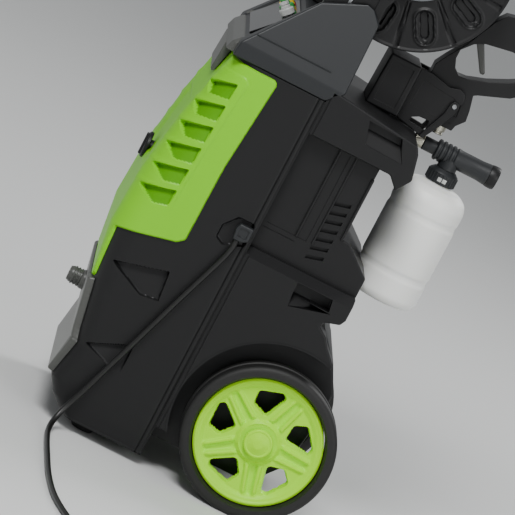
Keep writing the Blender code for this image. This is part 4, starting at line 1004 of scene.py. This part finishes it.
# the console slope's direction, its normal and its middle
def consoleFrame():
    low, high = Vector((0, -0.160, 0.546)), Vector((0, -0.104, deckTop))
    along = (high - low).normalized()
    return along, Vector((0, -along.z, along.y)), (low + high) / 2


nozzlePlaces = [-0.060, -0.020, 0.020, 0.060]


# the lighter band over the case's top edge, with its hanging tongue, and the rim round the console
def consoleTrim():
    points = []
    for x, back in ((0.112, 0.004), (0.104, 0.0), (-0.104, 0.0), (-0.112, 0.004)):
        points += [(x, y * mm + back, z * mm) for y,
                   z in ((-165, 524.6), (-176.2, 523.8), (-172.2, 536), (-162.5, 545.8), (-150, 545.8),
                         (-150, 524.6))]
    tongue = [(-173.2, 485), (-176.6, 483.2), (-178.8, 486.5), (-176.4, 525), (-160, 525), (-164.6, 520.5)]
    pieces = [toObject("band", hull(points, 1.6 * mm), trimPlastic),
              toObject("tongue", slab(sidePolygon(*tongue), -0.060, 0.060, 1.0 * mm, 2), trimPlastic)]
    for side in (1, -1):
        route = [(side * 0.1105, -0.1595, 0.5475), (side * 0.1100, -0.1300, 0.5790),
                 (side * 0.1090, -0.1050, 0.6060)]
        rim = sweep(smoothRoute(route, 4 * mm), 1.9 * mm, 12)
        pieces.append(toObject("rim", rim, trimPlastic))
    for obj in pieces[:2]:
        evenNormals(obj)
    made = join("console_trim", *pieces)
    keep(made, "case", ["top_cover"])


def consolePanel():
    along, normal, middle = consoleFrame()
    half, reach, thick = 0.092, 0.034, 3 * mm
    points = []
    for x in (-half, half):
        for share in (-reach, reach):
            for lift in (gap, gap + thick):
                points.append(middle + along * share + normal * lift + Vector((x, 0, 0)))
    panel = toObject("console_panel_gloss", hull(points, 1.0 * mm, 2), glossPlastic)
    holes = [rod(0.0071, -0.010, 0.010, middle + along * 0.018 + Vector((x, 0, 0)), normal,
                 32) for x in nozzlePlaces]
    boolean(panel, "DIFFERENCE", *holes)
    evenNormals(panel)
    keep(panel, "case", ["console_panel"])


def sprayNozzles():
    along, normal, middle = consoleFrame()
    colours = [(redPlastic, "nozzle_red"), (yellowPlastic, "nozzle_yellow"), (leafPlastic, "nozzle_green"),
               (silverPlastic, "nozzle_grey")]
    for number, (x, (mat, slotName)) in enumerate(zip(nozzlePlaces, colours), start=1):
        place = middle + along * 0.018 + Vector((x, 0, 0))
        seat = 3.5 * mm
        profile = [(0, -0.010), (0.0056, -0.010), (0.0062, -0.008), (0.0062, seat + 0.8 * mm),
                   (0.0088, seat + 0.8 * mm),
                   (0.0095, seat + 1.6 * mm), (0.0095, seat + 8 * mm), (0.0086, seat + 9 * mm),
                   (0.0062, seat + 9.4 * mm),
                   (0.0062, seat + 12 * mm), (0.0054, seat + 12.6 * mm), (0.0054, seat + 14 * mm),
                   (0.0062, seat + 14.6 * mm),
                   (0.0060, seat + 17.6 * mm), (0.0025, seat + 18 * mm), (0, seat + 15 * mm)]
        nozzle = toObject(f"spray_nozzle_body_{number}", turned(profile, place, normal, 32), mat)
        keep(nozzle, f"spray_{number}", [f"spray_nozzle_{number}"])


def uprightOutline():
    top, bossZ = 0.800, reelCentre.z
    outline = [(-0.0940, deckTop + gap), (-0.0940, 0.780)]
    outline += arc((-0.078, top - 0.016), 0.016, 180, 90, 5)
    outline += arc((reelCentre.y, bossZ), 0.028, 105, -75, 12)
    outline += [(-0.0195, 0.660), (-0.0195, deckTop + gap)]
    return outline


def uprights():
    for side, name in ((1, "right"), (-1, "left")):
        low, high = sorted((side * 0.084, side * 0.108))
        post = toObject(f"upright_{name}_moulded", slab(uprightOutline(), low, high, 2.2 * mm), blackPlastic)
        panel = sidePolygon((-84, 616), (-84, 690), (-32, 690), (-32, 616))
        deep = slab(panel, *sorted((side * 0.1055, side * 0.112)), 1.2 * mm, 2)
        seat = rod(0.0225, 0.1062, 0.120, (0, reelCentre.y, reelCentre.z), "X", 64) if side > 0 else \
            rod(0.0225, -0.120, -0.1062, (0, reelCentre.y, reelCentre.z), "X", 64)
        legHole = rod(0.0098, deckTop - 0.01, 0.810, (side * legX, legY, 0), "Z", 32)
        axleHole = rod(0.0106, *sorted((side * 0.070, side * 0.125)), (0, reelCentre.y, reelCentre.z), "X",
                       32)
        press = rod(0.0076, *sorted((side * 0.100, side * 0.125)), (0, legY, 0.768), "X", 32)
        boolean(post, "DIFFERENCE", deep, seat, legHole, axleHole, press)
        evenNormals(post)
        keep(post, "case", [f"upright_{name}"])


def lockButtons():
    for side, name in ((1, "right"), (-1, "left")):
        low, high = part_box(f"lock_button_{name}")
        near, far = (low.x, high.x) if side > 0 else (high.x, low.x)
        profile = [(0, near), (0.0068, near), (0.0070, near + side * 1 * mm),
                   (0.0070, far - side * 1.2 * mm), (0.0060, far), (0.003, far - side * 0.6 * mm),
                   (0, far - side * 0.7 * mm)]
        button = toObject(f"lock_button_{name}_pressed", turned(profile, (0, legY, 0.768), "X", 32),
                          trimPlastic)
        keep(button, f"button_{name}", [f"lock_button_{name}"])


# a bent steel tube with a soft grip on its crossbar
def handle():
    barZ, bend, foot = 0.900, 0.045, 0.560
    route = [Vector((legX, legY, foot + (barZ - bend - foot) * k / 6)) for k in range(6)]
    route += [Vector((legX - bend + bend * math.cos(a), legY,
                      barZ - bend + bend * math.sin(a))) for a in np.radians(np.linspace(0, 90, 14))]
    route += [Vector((x, legY, barZ)) for x in (0.03, 0.0, -0.03)]
    route += [Vector((-p.x, p.y, p.z)) for p in route[:-3][::-1]]
    tubeObject = toObject("handle_tube_bent", sweep(route, 0.009, 28), zincSteel)
    keep(tubeObject, "handle", ["handle_tube"])
    low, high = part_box("handle_grip")
    half = (high.x - low.x) / 2
    profile = [(0.0092, -half)]
    for k in range(41):
        x = -half + 2 * half * k / 40
        wave = 0.0007 * math.cos(k * math.pi)
        end = 0.0022 * (1 - float(smoothStep(0, 0.006, half - abs(x))))
        profile.append((0.0135 + wave * 0.6 - end, x))
    profile.append((0.0092, half))
    grip = toObject("handle_grip_soft", turned(profile, (0, legY, barZ), "X", 40, closed=True), softRubber)
    keep(grip, "handle", ["handle_grip"])


wheel = {
    "radius": 0.100, "spokes": 5, "firstHole": 34, "faceX": 0.1475, "dish": 4 * mm, "rimRing": 2.2 * mm,
    "hubRing": 2.2 * mm, "ridge": 3.4 * mm, "web": 2.2 * mm, "holeDepth": 10 * mm, "holeRadius": 3.5 * mm,
         "holeGrow": 3.2 * mm,
}


# the lime wheel disc: a dished face with five spokes between rounded holes
def wheelFace(side):
    rings = np.concatenate([np.linspace(0.0, 0.030, 13), np.linspace(0.0315, 0.073, 42),
                            np.linspace(0.0738, 0.083, 12)])
    turns = np.linspace(0, 2 * math.pi, 301)[:-1]
    radius, angle = np.meshgrid(rings, turns, indexing="ij")
    flat = np.stack([(radius * np.cos(angle)).ravel(), (radius * np.sin(angle)).ravel()], axis=1)
    face = wheel["faceX"] + np.zeros(len(flat))
    r = radius.ravel()
    face -= wheel["dish"] * (1 - smoothStep(0.068, 0.076, r)) * smoothStep(0.024, 0.030, r)
    face += wheel["rimRing"] * np.exp(-((r - 0.080) / 0.0026) ** 2)
    face += wheel["hubRing"] * np.exp(-((r - 0.0265) / 0.0022) ** 2)
    hole = np.full(len(flat), 1.0)
    corners = ((64, 8), (69, -21), (37, -4), (50, 14))
    for k in range(wheel["spokes"]):
        centre = wheel["firstHole"] + 72 * k
        polygon = [(c * mm * math.cos(math.radians(centre + d)),
                    c * mm * math.sin(math.radians(centre + d))) for c, d in corners]
        hole = np.minimum(hole, roundedDistance(flat, polygon, wheel["holeRadius"]) - wheel["holeGrow"])
        spoke = math.radians(centre - 36)
        sideways = flat[:, 0] * -math.sin(spoke) + flat[:, 1] * math.cos(spoke)
        along = flat[:, 0] * math.cos(spoke) + flat[:, 1] * math.sin(spoke)
        band = (along > 0) * smoothStep(0.028, 0.034, r) * (1 - smoothStep(0.066, 0.073, r))
        for turn in (-1, 1):
            line = turn * (0.0085 - 0.05 * (along - 0.030))
            face += wheel["ridge"] * band * np.exp(-((sideways - line) / 0.0030) ** 4)
        face -= wheel["web"] * band * np.exp(-(sideways / 0.0046) ** 4)
    face -= wheel["holeDepth"] * (1 - smoothStep(-1.6 * mm, 0.0, hole))
    points = np.stack([side * face, wheelCentre.y + flat[:, 0], wheelCentre.z + flat[:, 1]],
                      axis=1).reshape(*radius.shape, 3)
    bm = gridMesh(points, (hole > -2.1 * mm).reshape(radius.shape), closeAcross=True)
    bmesh.ops.remove_doubles(bm, verts=bm.verts, dist=1e-6)
    bmesh.ops.recalc_face_normals(bm, faces=bm.faces)
    if sum(f.normal.x * side for f in bm.faces) < 0:
        bmesh.ops.reverse_faces(bm, faces=bm.faces)
    return bm


def wheels():
    for side, name in ((1, "right"), (-1, "left")):
        disc = toObject("disc", wheelFace(side), limePlastic, sharp=45)
        barrel = turned(rounded([(0.083, side * 0.1473), (0.0835, side * 0.115), (0.078, side * 0.115),
                                 (0.078, side * 0.1425)], 1 * mm),
                        wheelCentre, "X", 96)
        hub = turned([(0.0088, side * 0.112), (0.022, side * 0.112), (0.0235, side * 0.1450),
                      (0.0088, side * 0.1450)],
                     wheelCentre, "X", 48, closed=True)
        rim = join(f"rim_{name}_moulded", disc, toObject("barrel", barrel, limePlastic),
                   toObject("hub", hub, limePlastic))
        keep(rim, f"wheel_{name}", [f"rim_{name}"])
        cap = [(0, side * 0.1490), (0.0190, side * 0.1490), (0.0190, side * 0.1540),
               (0.0182, side * 0.1560), (0.0160, side * 0.1568),
               (0.0150, side * 0.1560), (0.0120, side * 0.1572), (0.0060, side * 0.1598), (0, side * 0.1603)]
        hubCap = toObject(f"hub_cap_{name}_moulded", turned(rounded(cap, 0.6 * mm), wheelCentre, "X", 64),
                          limePlastic)
        keep(hubCap, f"wheel_{name}", [f"hub_cap_{name}"])
        tyre(side, name)


def tyre(side, name):
    inner, outer = 0.0845, wheel["radius"]
    low, high = side * 0.114, side * 0.158
    middle = (low + high) / 2
    edge = side * 5 * mm
    shoulder, groove, wide = 6 * mm, 1.5 * mm, edge * 1.2
    profile = [(inner, low + edge), (inner + 3 * mm, low), (outer - shoulder, low)]
    turns = [math.radians(degrees) for degrees in (25, 50, 75, 90)]
    profile += [(outer - shoulder + shoulder * math.sin(a), low + wide * (1 - math.cos(a))) for a in turns]
    profile += [(outer, middle - wide), (outer - groove, middle - edge), (outer - groove, middle + edge),
                (outer, middle + wide)]
    profile += [(outer - shoulder + shoulder * math.sin(a),
                 high - wide * (1 - math.cos(a))) for a in turns[::-1]]
    profile += [(outer - shoulder, high), (outer - 8 * mm, high), (inner + 3 * mm, high),
                (inner, high - edge)]
    body = toObject("tyre", turned(profile, wheelCentre, "X", 160, closed=True), tyreRubber, sharp=40)
    keep(join(f"tyre_{name}_moulded", body), f"wheel_{name}", [f"tyre_{name}"])


rearShell()
print("stage: case rear")
topCover()
consoleTrim()
consolePanel()
sprayNozzles()
print("stage: top cover")
uprights()
lockButtons()
handle()
wheels()
print("stage: uprights, handle and wheels")

reel = {"sectors": 10, "firstDeg": -61, "ovalRadius": 0.091}


# the moulded relief of a reel flange: sectors with an oval frame, a slot and a screw each
def flangeHeight(radius, angle):
    step = math.tau / reel["sectors"]
    local = (angle - math.radians(reel["firstDeg"]) + step / 2) % step - step / 2
    along = radius - reel["ovalRadius"]
    sideways = radius * np.sin(local)
    oval = np.hypot(np.clip(np.abs(along) - 0.0100, 0, None), sideways) - 0.0145
    slot = np.hypot(np.clip(np.abs(along + 0.003) - 0.0120, 0, None), sideways) - 0.0052
    screw = np.hypot(radius - 0.1105, sideways)
    border = radius * np.sin(step / 2 - np.abs(local))
    height = 0.0778 + 0.0020 * np.exp(-((oval + 0.0016) / 0.0019) ** 2)
    height = height - 0.0014 * (1 - smoothStep(-0.0040, -0.0028, oval))
    height = height - 0.0052 * (1 - smoothStep(-0.0012, 0.0, slot))
    height = height + 0.0016 * (1 - smoothStep(0.0026, 0.0036, screw))
    height = height - 0.0012 * (1 - smoothStep(0.0008, 0.0014, screw))
    height = height - 0.0017 * np.exp(-((border - 0.0022) / 0.0009) ** 2) * smoothStep(0.058, 0.062, radius)
    height = height + 0.0018 * (1 - smoothStep(0.0565, 0.0585, radius))
    height = height - 0.0030 * (1 - smoothStep(0.0295, 0.0310, radius))
    return height + 0.0025 * (1 - smoothStep(0.0160, 0.0172, radius))


def reelFlange(side, name):
    rings = np.concatenate([fineLines(0.0108, 0.060, 1.3 * mm), fineLines(0.060, 0.1180, 0.95 * mm)[1:]])
    turns = np.linspace(0, math.tau, 421)[:-1]
    radius, angle = np.meshgrid(rings, turns, indexing="ij")
    height = flangeHeight(radius, angle)
    layers = [(radius, height)]
    for r, x in ((0.1200, 0.0792), (0.1216, 0.0792), (0.1225, 0.0782), (0.1225, 0.0735), (0.1218, 0.0725),
                 (0.0108, 0.0725)):
        layers.append((np.full((1, len(turns)), r), np.full((1, len(turns)), x)))
    radius = np.concatenate([a for a, b in layers])
    height = np.concatenate([b for a, b in layers])
    angle = np.repeat(turns[None, :], len(radius), axis=0)
    points = np.stack([side * height, reelCentre.y + radius * np.cos(angle),
                       reelCentre.z + radius * np.sin(angle)], axis=-1)
    bm = gridMesh(points, closeAcross=True)
    bmesh.ops.recalc_face_normals(bm, faces=bm.faces)
    outer = [f for f in bm.faces if abs(f.calc_center_median().x) > 0.0760]
    if sum(f.normal.x * side for f in outer) < 0:
        bmesh.ops.reverse_faces(bm, faces=bm.faces)
    for face in outer:
        middle = face.calc_center_median()
        reach = math.hypot(middle.y - reelCentre.y, middle.z - reelCentre.z)
        if 0.031 < reach < 0.0575:
            face.material_index = 1
    flange = toObject(f"reel_flange_{name}_moulded", bm, blackPlastic, sharp=38)
    flange.data.materials.append(hubPlastic)
    keep(flange, "reel", [f"reel_flange_{name}"])


# turns of hose side by side on the drum, over the layers below them
def hoseOnReel():
    radius, hose, half, stepsPerTurn = 0.0945, 0.0052, 0.0655, 40
    turns = int(2 * half / (2 * hose))
    points = []
    count = turns * stepsPerTurn
    for k in range(count + 1):
        angle = math.tau * k / stepsPerTurn
        points.append(reelCentre + Vector((-half + 2 * half * k / count, radius * math.cos(angle),
                                           radius * math.sin(angle))))
    outer = toObject("outer_turns", sweep(points, hose, 10), hoseRubber)
    inner = turned([(0.0455, -0.070), (0.0905, -0.070), (0.0905, 0.070), (0.0455, 0.070)], reelCentre, "X",
                   64, closed=True)
    made = join("hose_turns", outer, toObject("inner_turns", inner, hoseRubber))
    keep(made, "reel", ["hose_coil"])


# the crank on the left end of the reel's shaft
def crank():
    low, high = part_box("crank_arm")
    tipZ = reelCentre.z + 0.085
    outline = arc((reelCentre.y, reelCentre.z), 0.0158, 180, 360, 16)
    outline += arc((reelCentre.y, tipZ), 0.0108, 0, 180, 12)
    arm = toObject("crank_arm_moulded", slab(outline, low.x, high.x, 1.8 * mm), blackPlastic)
    web = slab([(y * 0.62 + reelCentre.y * 0.38, reelCentre.z + 0.022 + (z - reelCentre.z) * 0.52) for y,
                z in outline], low.x - 0.01, low.x + 0.003)
    boolean(arm, "DIFFERENCE", web, rod(0.0106, low.x - 0.01, high.x + 0.01, reelCentre, "X", 32))
    evenNormals(arm)
    keep(arm, "reel", ["crank_arm"])
    low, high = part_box("crank_knob")
    length = high.x - low.x
    profile = [(0, high.x), (0.0095, high.x), (0.0112, high.x - 0.003), (0.0100, high.x - 0.4 * length),
               (0.0104, high.x - 0.6 * length),
               (0.0120, low.x + 0.006), (0.0112, low.x + 0.0015), (0.0085, low.x), (0, low.x)]
    knob = toObject("crank_knob_moulded",
                    turned(rounded(profile, 3 * mm), (0, reelCentre.y, tipZ), "X", 40), blackPlastic)
    keep(knob, "knob", ["crank_knob"])


def gunHolder():
    post = sidePolygon((16, 534.8), (62, 534.8), (62, 606), (18, 606))
    body = toObject("gun_holder_moulded", slab(post, -0.042, 0.042, 3 * mm), blackPlastic)
    cheek = sidePolygon((52, 535.8), (104, 524.8), (112, 545), (124, 572), (131, 590), (127, 599),
                        (119, 602), (106, 598), (80, 604), (52, 604))
    window = sidePolygon((79, 536), (103, 534), (103, 548), (88, 547), (79, 542))
    adds, cuts = [], [slab(window, -0.1, 0.1)]
    for side in (1, -1):
        adds.append(slab(cheek, *sorted((side * 0.0190, side * 0.0260)), 1.6 * mm, 2))
        panel = sidePolygon((70, 556), (110, 556), (119, 588), (72, 592))
        cuts.append(slab(panel, *sorted((side * 0.0250, side * 0.030)), 0.6 * mm, 2))
        cuts.append(slab(sidePolygon((24, 543), (54, 543), (54, 598), (24, 598)),
                         *sorted((side * 0.0405, side * 0.046)), 0.6 * mm, 2))
    boolean(body, "UNION", *adds)
    boolean(body, "DIFFERENCE", *cuts, block((-0.039, 0.021, 0.500), (0.039, 0.059, 0.603)))
    arms = []
    for side in (1, -1):
        low, high = sorted((side * 0.0240, side * 0.0300))
        outline = sidePolygon((98, 525), (104, 524.5), (116, 546), (125.5, 568), (128, 579), (125, 585),
                              (119, 585.5), (115.5, 580), (114, 566), (106, 546))
        arms.append(slab(outline, low, high, 1.2 * mm, 2))
    boolean(body, "UNION", *arms)
    screws = []
    for side in (1, -1):
        head = turned([(0, side * 0.0295), (0.0032, side * 0.0295), (0.0032, side * 0.0308),
                       (0.0026, side * 0.0314), (0.0014, side * 0.0314),
                       (0.0012, side * 0.0306), (0, side * 0.0306)], (0, 0.1215, 0.579), "X", 24)
        screws.append(toObject("screw", head, zincSteel))
    evenNormals(body)
    keep(join("gun_holder_whole", body, *screws), "case", ["gun_holder"])


# rounds the sharp edges that a cut has left
def softEdges(obj, width, segments=4, angle=35):
    bm = bmesh.new()
    bm.from_mesh(obj.data)
    bmesh.ops.dissolve_limit(bm, angle_limit=math.radians(0.5), verts=bm.verts, edges=bm.edges)
    edges = [e for e in bm.edges if len(e.link_faces) == 2 and e.calc_face_angle(0) > math.radians(angle)]
    bmesh.ops.bevel(bm, geom=edges, offset=width, segments=segments, profile=0.5, affect="EDGES",
                    clamp_overlap=True)
    bm.to_mesh(obj.data)
    bm.free()
    return evenNormals(obj, 40)


# the gun stands muzzle down, its closed handle pointing back and up
def sprayGun():
    body = sidePolygon((70, 548), (134, 548), (136, 556), (145, 567), (143, 581), (138, 601), (143, 604),
                       (181, 619), (207, 639), (216, 661),
                       (216.5, 698), (211, 724), (170, 721), (130, 712), (119, 698), (100, 656), (85, 632),
                       (76, 616), (76, 605), (70, 598))
    hand = sidePolygon((96, 646), (96, 634), (101, 622), (109, 615.5), (121, 616.5), (146, 625), (171, 637),
                       (194, 650), (202, 661), (198, 672),
                       (156, 673.5), (121, 667), (108, 660))
    gun = toObject("gun_moulded", slab(body, -0.017, 0.017), blackPlastic)
    boolean(gun, "DIFFERENCE", slab(hand, -0.1, 0.1))
    softEdges(gun, 5 * mm, 4, 50)
    slot = slab(sidePolygon((104, 656), (126, 662), (126, 684), (104, 684)), -0.0068, 0.0068)
    lines = [slab(sidePolygon((78, 556), (128, 556), (128, 557.4), (78, 557.4)),
                  *sorted((side * 0.0163, side * 0.02))) for side in (1, -1)]
    lines += [slab(sidePolygon((86, 566), (132, 566), (128, 596), (86, 596)),
                   *sorted((side * 0.0158, side * 0.02)), 0.8 * mm, 2) for side in (1, -1)]
    boolean(gun, "DIFFERENCE", slot, *lines)
    evenNormals(gun, 40)
    keep(gun, "gun", ["gun_body"])
    lever = sidePolygon((108, 669), (112, 675), (118, 670), (139, 632), (138, 629), (133, 629), (112, 661))
    trigger = toObject("gun_trigger_moulded", slab(lever, -0.006, 0.006, 1.6 * mm), trimPlastic)
    evenNormals(trigger)
    keep(trigger, "trigger", ["gun_trigger"])
    origin = (0, 0.119, 0.548)
    coupler = [(0.0055, -0.013), (0.0084, -0.013), (0.0090, -0.0124), (0.0090, -0.0108), (0.0080, -0.0100),
               (0.0080, -0.0085), (0.0098, -0.0078),
               (0.0100, -0.0012), (0.0095, -0.0005), (0.0055, -0.0005)]
    keep(toObject("gun_coupler_turned", turned(coupler, origin, "Z", 40, closed=True), nickelBrass), "gun",
         ["gun_coupler"])


capRibs = {"count": 28, "radius": 0.0200}


def foamCannon():
    low, shoulder = 0.312, 0.478
    r, wall = 0.048, 0.0018
    outside = [(0, low + 0.003), (r - 0.016, low + 0.003), (r - 0.010, low), (r - 0.004, low + 0.003),
               (r, low + 0.010), (r, low + 0.036),
               (r - 0.0014, low + 0.040), (r - 0.0014, low + 0.044), (r, low + 0.048),
               (r, shoulder - 0.050), (r - 0.0012, shoulder - 0.046),
               (r - 0.0012, shoulder - 0.042), (r, shoulder - 0.038), (r, shoulder - 0.022),
               (r - 0.004, shoulder - 0.011),
               (r - 0.014, shoulder - 0.004), (0.019, shoulder - 0.0005), (0.017, shoulder + 0.001),
               (0.017, shoulder + 0.013)]
    inside = [(0.0152, shoulder + 0.013), (0.0152, shoulder - 0.003), (r - 0.016, shoulder - 0.007),
              (r - 0.006, shoulder - 0.013),
              (r - wall - 0.0014, shoulder - 0.024), (r - wall - 0.0014, low + 0.012),
              (r - 0.008, low + 0.005), (0, low + 0.005)]
    profile = rounded(outside, 4 * mm, 5) + rounded(inside, 3 * mm, 3)
    bottle = toObject("foam_bottle_blown", turned(profile, (0, bottleY, 0), "Z", 96), bottlePlastic, sharp=60)
    keep(bottle, "bottle", ["foam_bottle"])
    capTop = 0.4986
    bore = 0.0175
    cap = [(0, shoulder + 0.0142), (bore, shoulder + 0.0142), (bore, shoulder + 0.0012),
           (0.0192, shoulder + 0.0012), (0.0200, shoulder + 0.002),
           (0.0200, shoulder + 0.0155), (0.0190, shoulder + 0.0170), (0.0165, shoulder + 0.0190),
           (0.0150, capTop), (0, capTop)]
    lid = toObject("foam_cap_moulded", turned(cap, (0, bottleY, 0), "Z", 64), greyPlastic)
    rib = rod(0.0009, shoulder + 0.0025, shoulder + 0.0150, (capRibs["radius"], bottleY, 0), "Z", 8)
    ribs = ringOfCopies(toObject("cap_ribs", rib, greyPlastic), capRibs["count"], (0, bottleY, 0),
                        greyPlastic)
    straw = toObject("straw", rod(0.003, low + 0.018, shoulder + 0.015, (0, bottleY, 0), "Z", 16),
                     greyPlastic)
    label = toObject("flow_window",
                     block((0.0188, bottleY - 0.006, shoulder + 0.0050),
                           (0.0206, bottleY + 0.006, shoulder + 0.0105), 0.4 * mm, 2), silverPlastic)
    lid = join("foam_cap_whole", lid, ribs, straw, label)
    keep(lid, "cannon", ["foam_cap"])
    tail, c = 0.2044, 0.0142
    axis = Vector((0, 0, cannonZ))
    tubeProfile = [(0, 0.111), (0.0085, 0.111), (0.0092, 0.112), (0.0092, 0.1285), (0.0128, 0.1292)]
    for k in range(4):
        start = 0.1295 + 0.0066 * k
        tubeProfile += [(c, start + 0.0008), (c, start + 0.0036), (c - 0.0018, start + 0.0046),
                        (c - 0.0018, start + 0.0058)]
    tubeProfile += [(c - 0.0002, 0.1570), (c - 0.0010, 0.1620), (c - 0.0010, tail - 0.012),
                    (c, tail - 0.002), (c, tail), (0, tail)]
    body = toObject("foam_tube", turned(tubeProfile, axis, "Y", 64), greyPlastic)
    neck = toObject("foam_neck", rod(0.013, capTop + 0.0005, cannonZ - 0.004, (0, bottleY, 0), "Z", 40),
                    greyPlastic)
    keep(join("foam_body_moulded", body, neck), "cannon", ["foam_body"])
    start = tail + 0.0005
    tip = [(0.0045, start), (c + 0.0002, start), (c + 0.0009, start + 0.003), (c + 0.0010, 0.2145),
           (c, 0.2172), (0.0105, 0.2172), (0.0070, 0.2100),
           (0.0045, 0.2090)]
    nozzle = toObject("foam_nozzle_moulded", turned(tip, axis, "Y", 64, closed=True), blackPlastic)
    keep(nozzle, "cannon_nozzle", ["foam_nozzle"])
    front, p = 0.1105, 0.0065
    plug = [(0, front), (p + 0.0025, front), (p + 0.0025, front - 0.012), (p - 0.001, front - 0.014),
            (p - 0.001, front - 0.020),
            (p, front - 0.022), (p, front - 0.0345), (p - 0.0012, front - 0.036), (0, front - 0.036)]
    keep(toObject("foam_plug_turned", turned(rounded(plug, 0.5 * mm), axis, "Y", 40), nickelBrass),
         "cannon", ["foam_plug"])


def switchKnob():
    low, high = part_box("switch_knob")
    z = (low.z + high.z) / 2
    r = (high.z - low.z) / 2
    stem = [(0, high.y), (0.0085, high.y), (0.0085, low.y + 0.0085), (r - 0.0004, low.y + 0.0085),
            (r, low.y + 0.0078), (r, low.y + 0.0045),
            (r - 0.002, low.y + 0.003), (0, low.y + 0.003)]
    body = toObject("switch_body_turned", turned(rounded(stem, 0.4 * mm), (0, 0, z), "Y", 64), blackPlastic)
    ridge = toObject("switch_ridge",
                     block((-0.0035, low.y, z - r + 0.003), (0.0035, low.y + 0.005, z + r - 0.003),
                           1.2 * mm), blackPlastic)
    keep(join("switch_knob_moulded", body, ridge), "switch", ["switch_knob"])


# a boxed exit in the side, its face lighter, with a sleeve round the lead
def cordGland():
    outline = sidePolygon((-63, 334.4), (-59.7, 341), (-41, 341), (-41, 323.4), (-48.7, 319), (-60.8, 319))
    box = toObject("gland_box", slab(outline, 0.1405, 0.1520, 2.2 * mm), greyPlastic)
    cut = block((0.1500, -0.0575, 0.3250), (0.1600, -0.0455, 0.3370), 1.2 * mm, 2)
    boolean(box, "DIFFERENCE", cut)
    evenNormals(box)
    sleeve = toObject("gland_sleeve", rod(0.0046, 0.3192, 0.3260, (0.1465, -0.0550, 0), "Z", 32, 0.0006),
                      blackPlastic)
    keep(join("cord_gland_moulded", box, sleeve), "case", ["cord_gland"])


def waterInlet():
    low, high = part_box("water_inlet")
    z, front, inside, r = 0.157, low.y, high.y, 0.013
    profile = [(0.006, inside), (r, inside), (r, front + 0.020), (r - 0.001, front + 0.018),
               (0.0112, front + 0.017)]
    for k in range(3):
        start = front + 0.0165 - 0.0042 * k
        profile += [(0.0122, start), (0.0122, start - 0.0016), (0.0110, start - 0.0024),
                    (0.0110, start - 0.0040)]
    profile += [(0.0100, front + 0.002), (0.0092, front), (0.006, front)]
    inlet = toObject("water_inlet_moulded", turned(profile, (0, 0, z), "Y", 48, closed=True), trimPlastic)
    keep(inlet, "case", ["water_inlet"])


# the parts inside keep their own shapes and take real finishes
def paintInternals():
    finishes = {"motor_housing": motorPaint, "pump_block": castAluminium, "swash_plate": zincSteel,
                "motor_rotor": zincSteel,
                "piston_1": zincSteel, "piston_2": zincSteel, "piston_3": zincSteel,
                "wheel_axle": zincSteel, "cooling_fan": blackPlastic,
                "base_tray": blackPlastic, "foot_right": softRubber, "foot_left": softRubber,
                "capacitor": silverPlastic,
                "pressure_switch": blackPlastic, "inlet_pipe": hoseRubber, "outlet_pipe": hoseRubber,
                "switch_body": blackPlastic,
                "reel_drum": blackPlastic}
    for name, mat in finishes.items():
        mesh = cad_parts[name].data
        mesh.materials.clear()
        mesh.materials.append(mat)


reelFlange(1, "right")
reelFlange(-1, "left")
hoseOnReel()
crank()
print("stage: reel")
gunHolder()
sprayGun()
foamCannon()
print("stage: gun and foam cannon")
switchKnob()
cordGland()
waterInlet()
paintInternals()
print("stage: fittings")
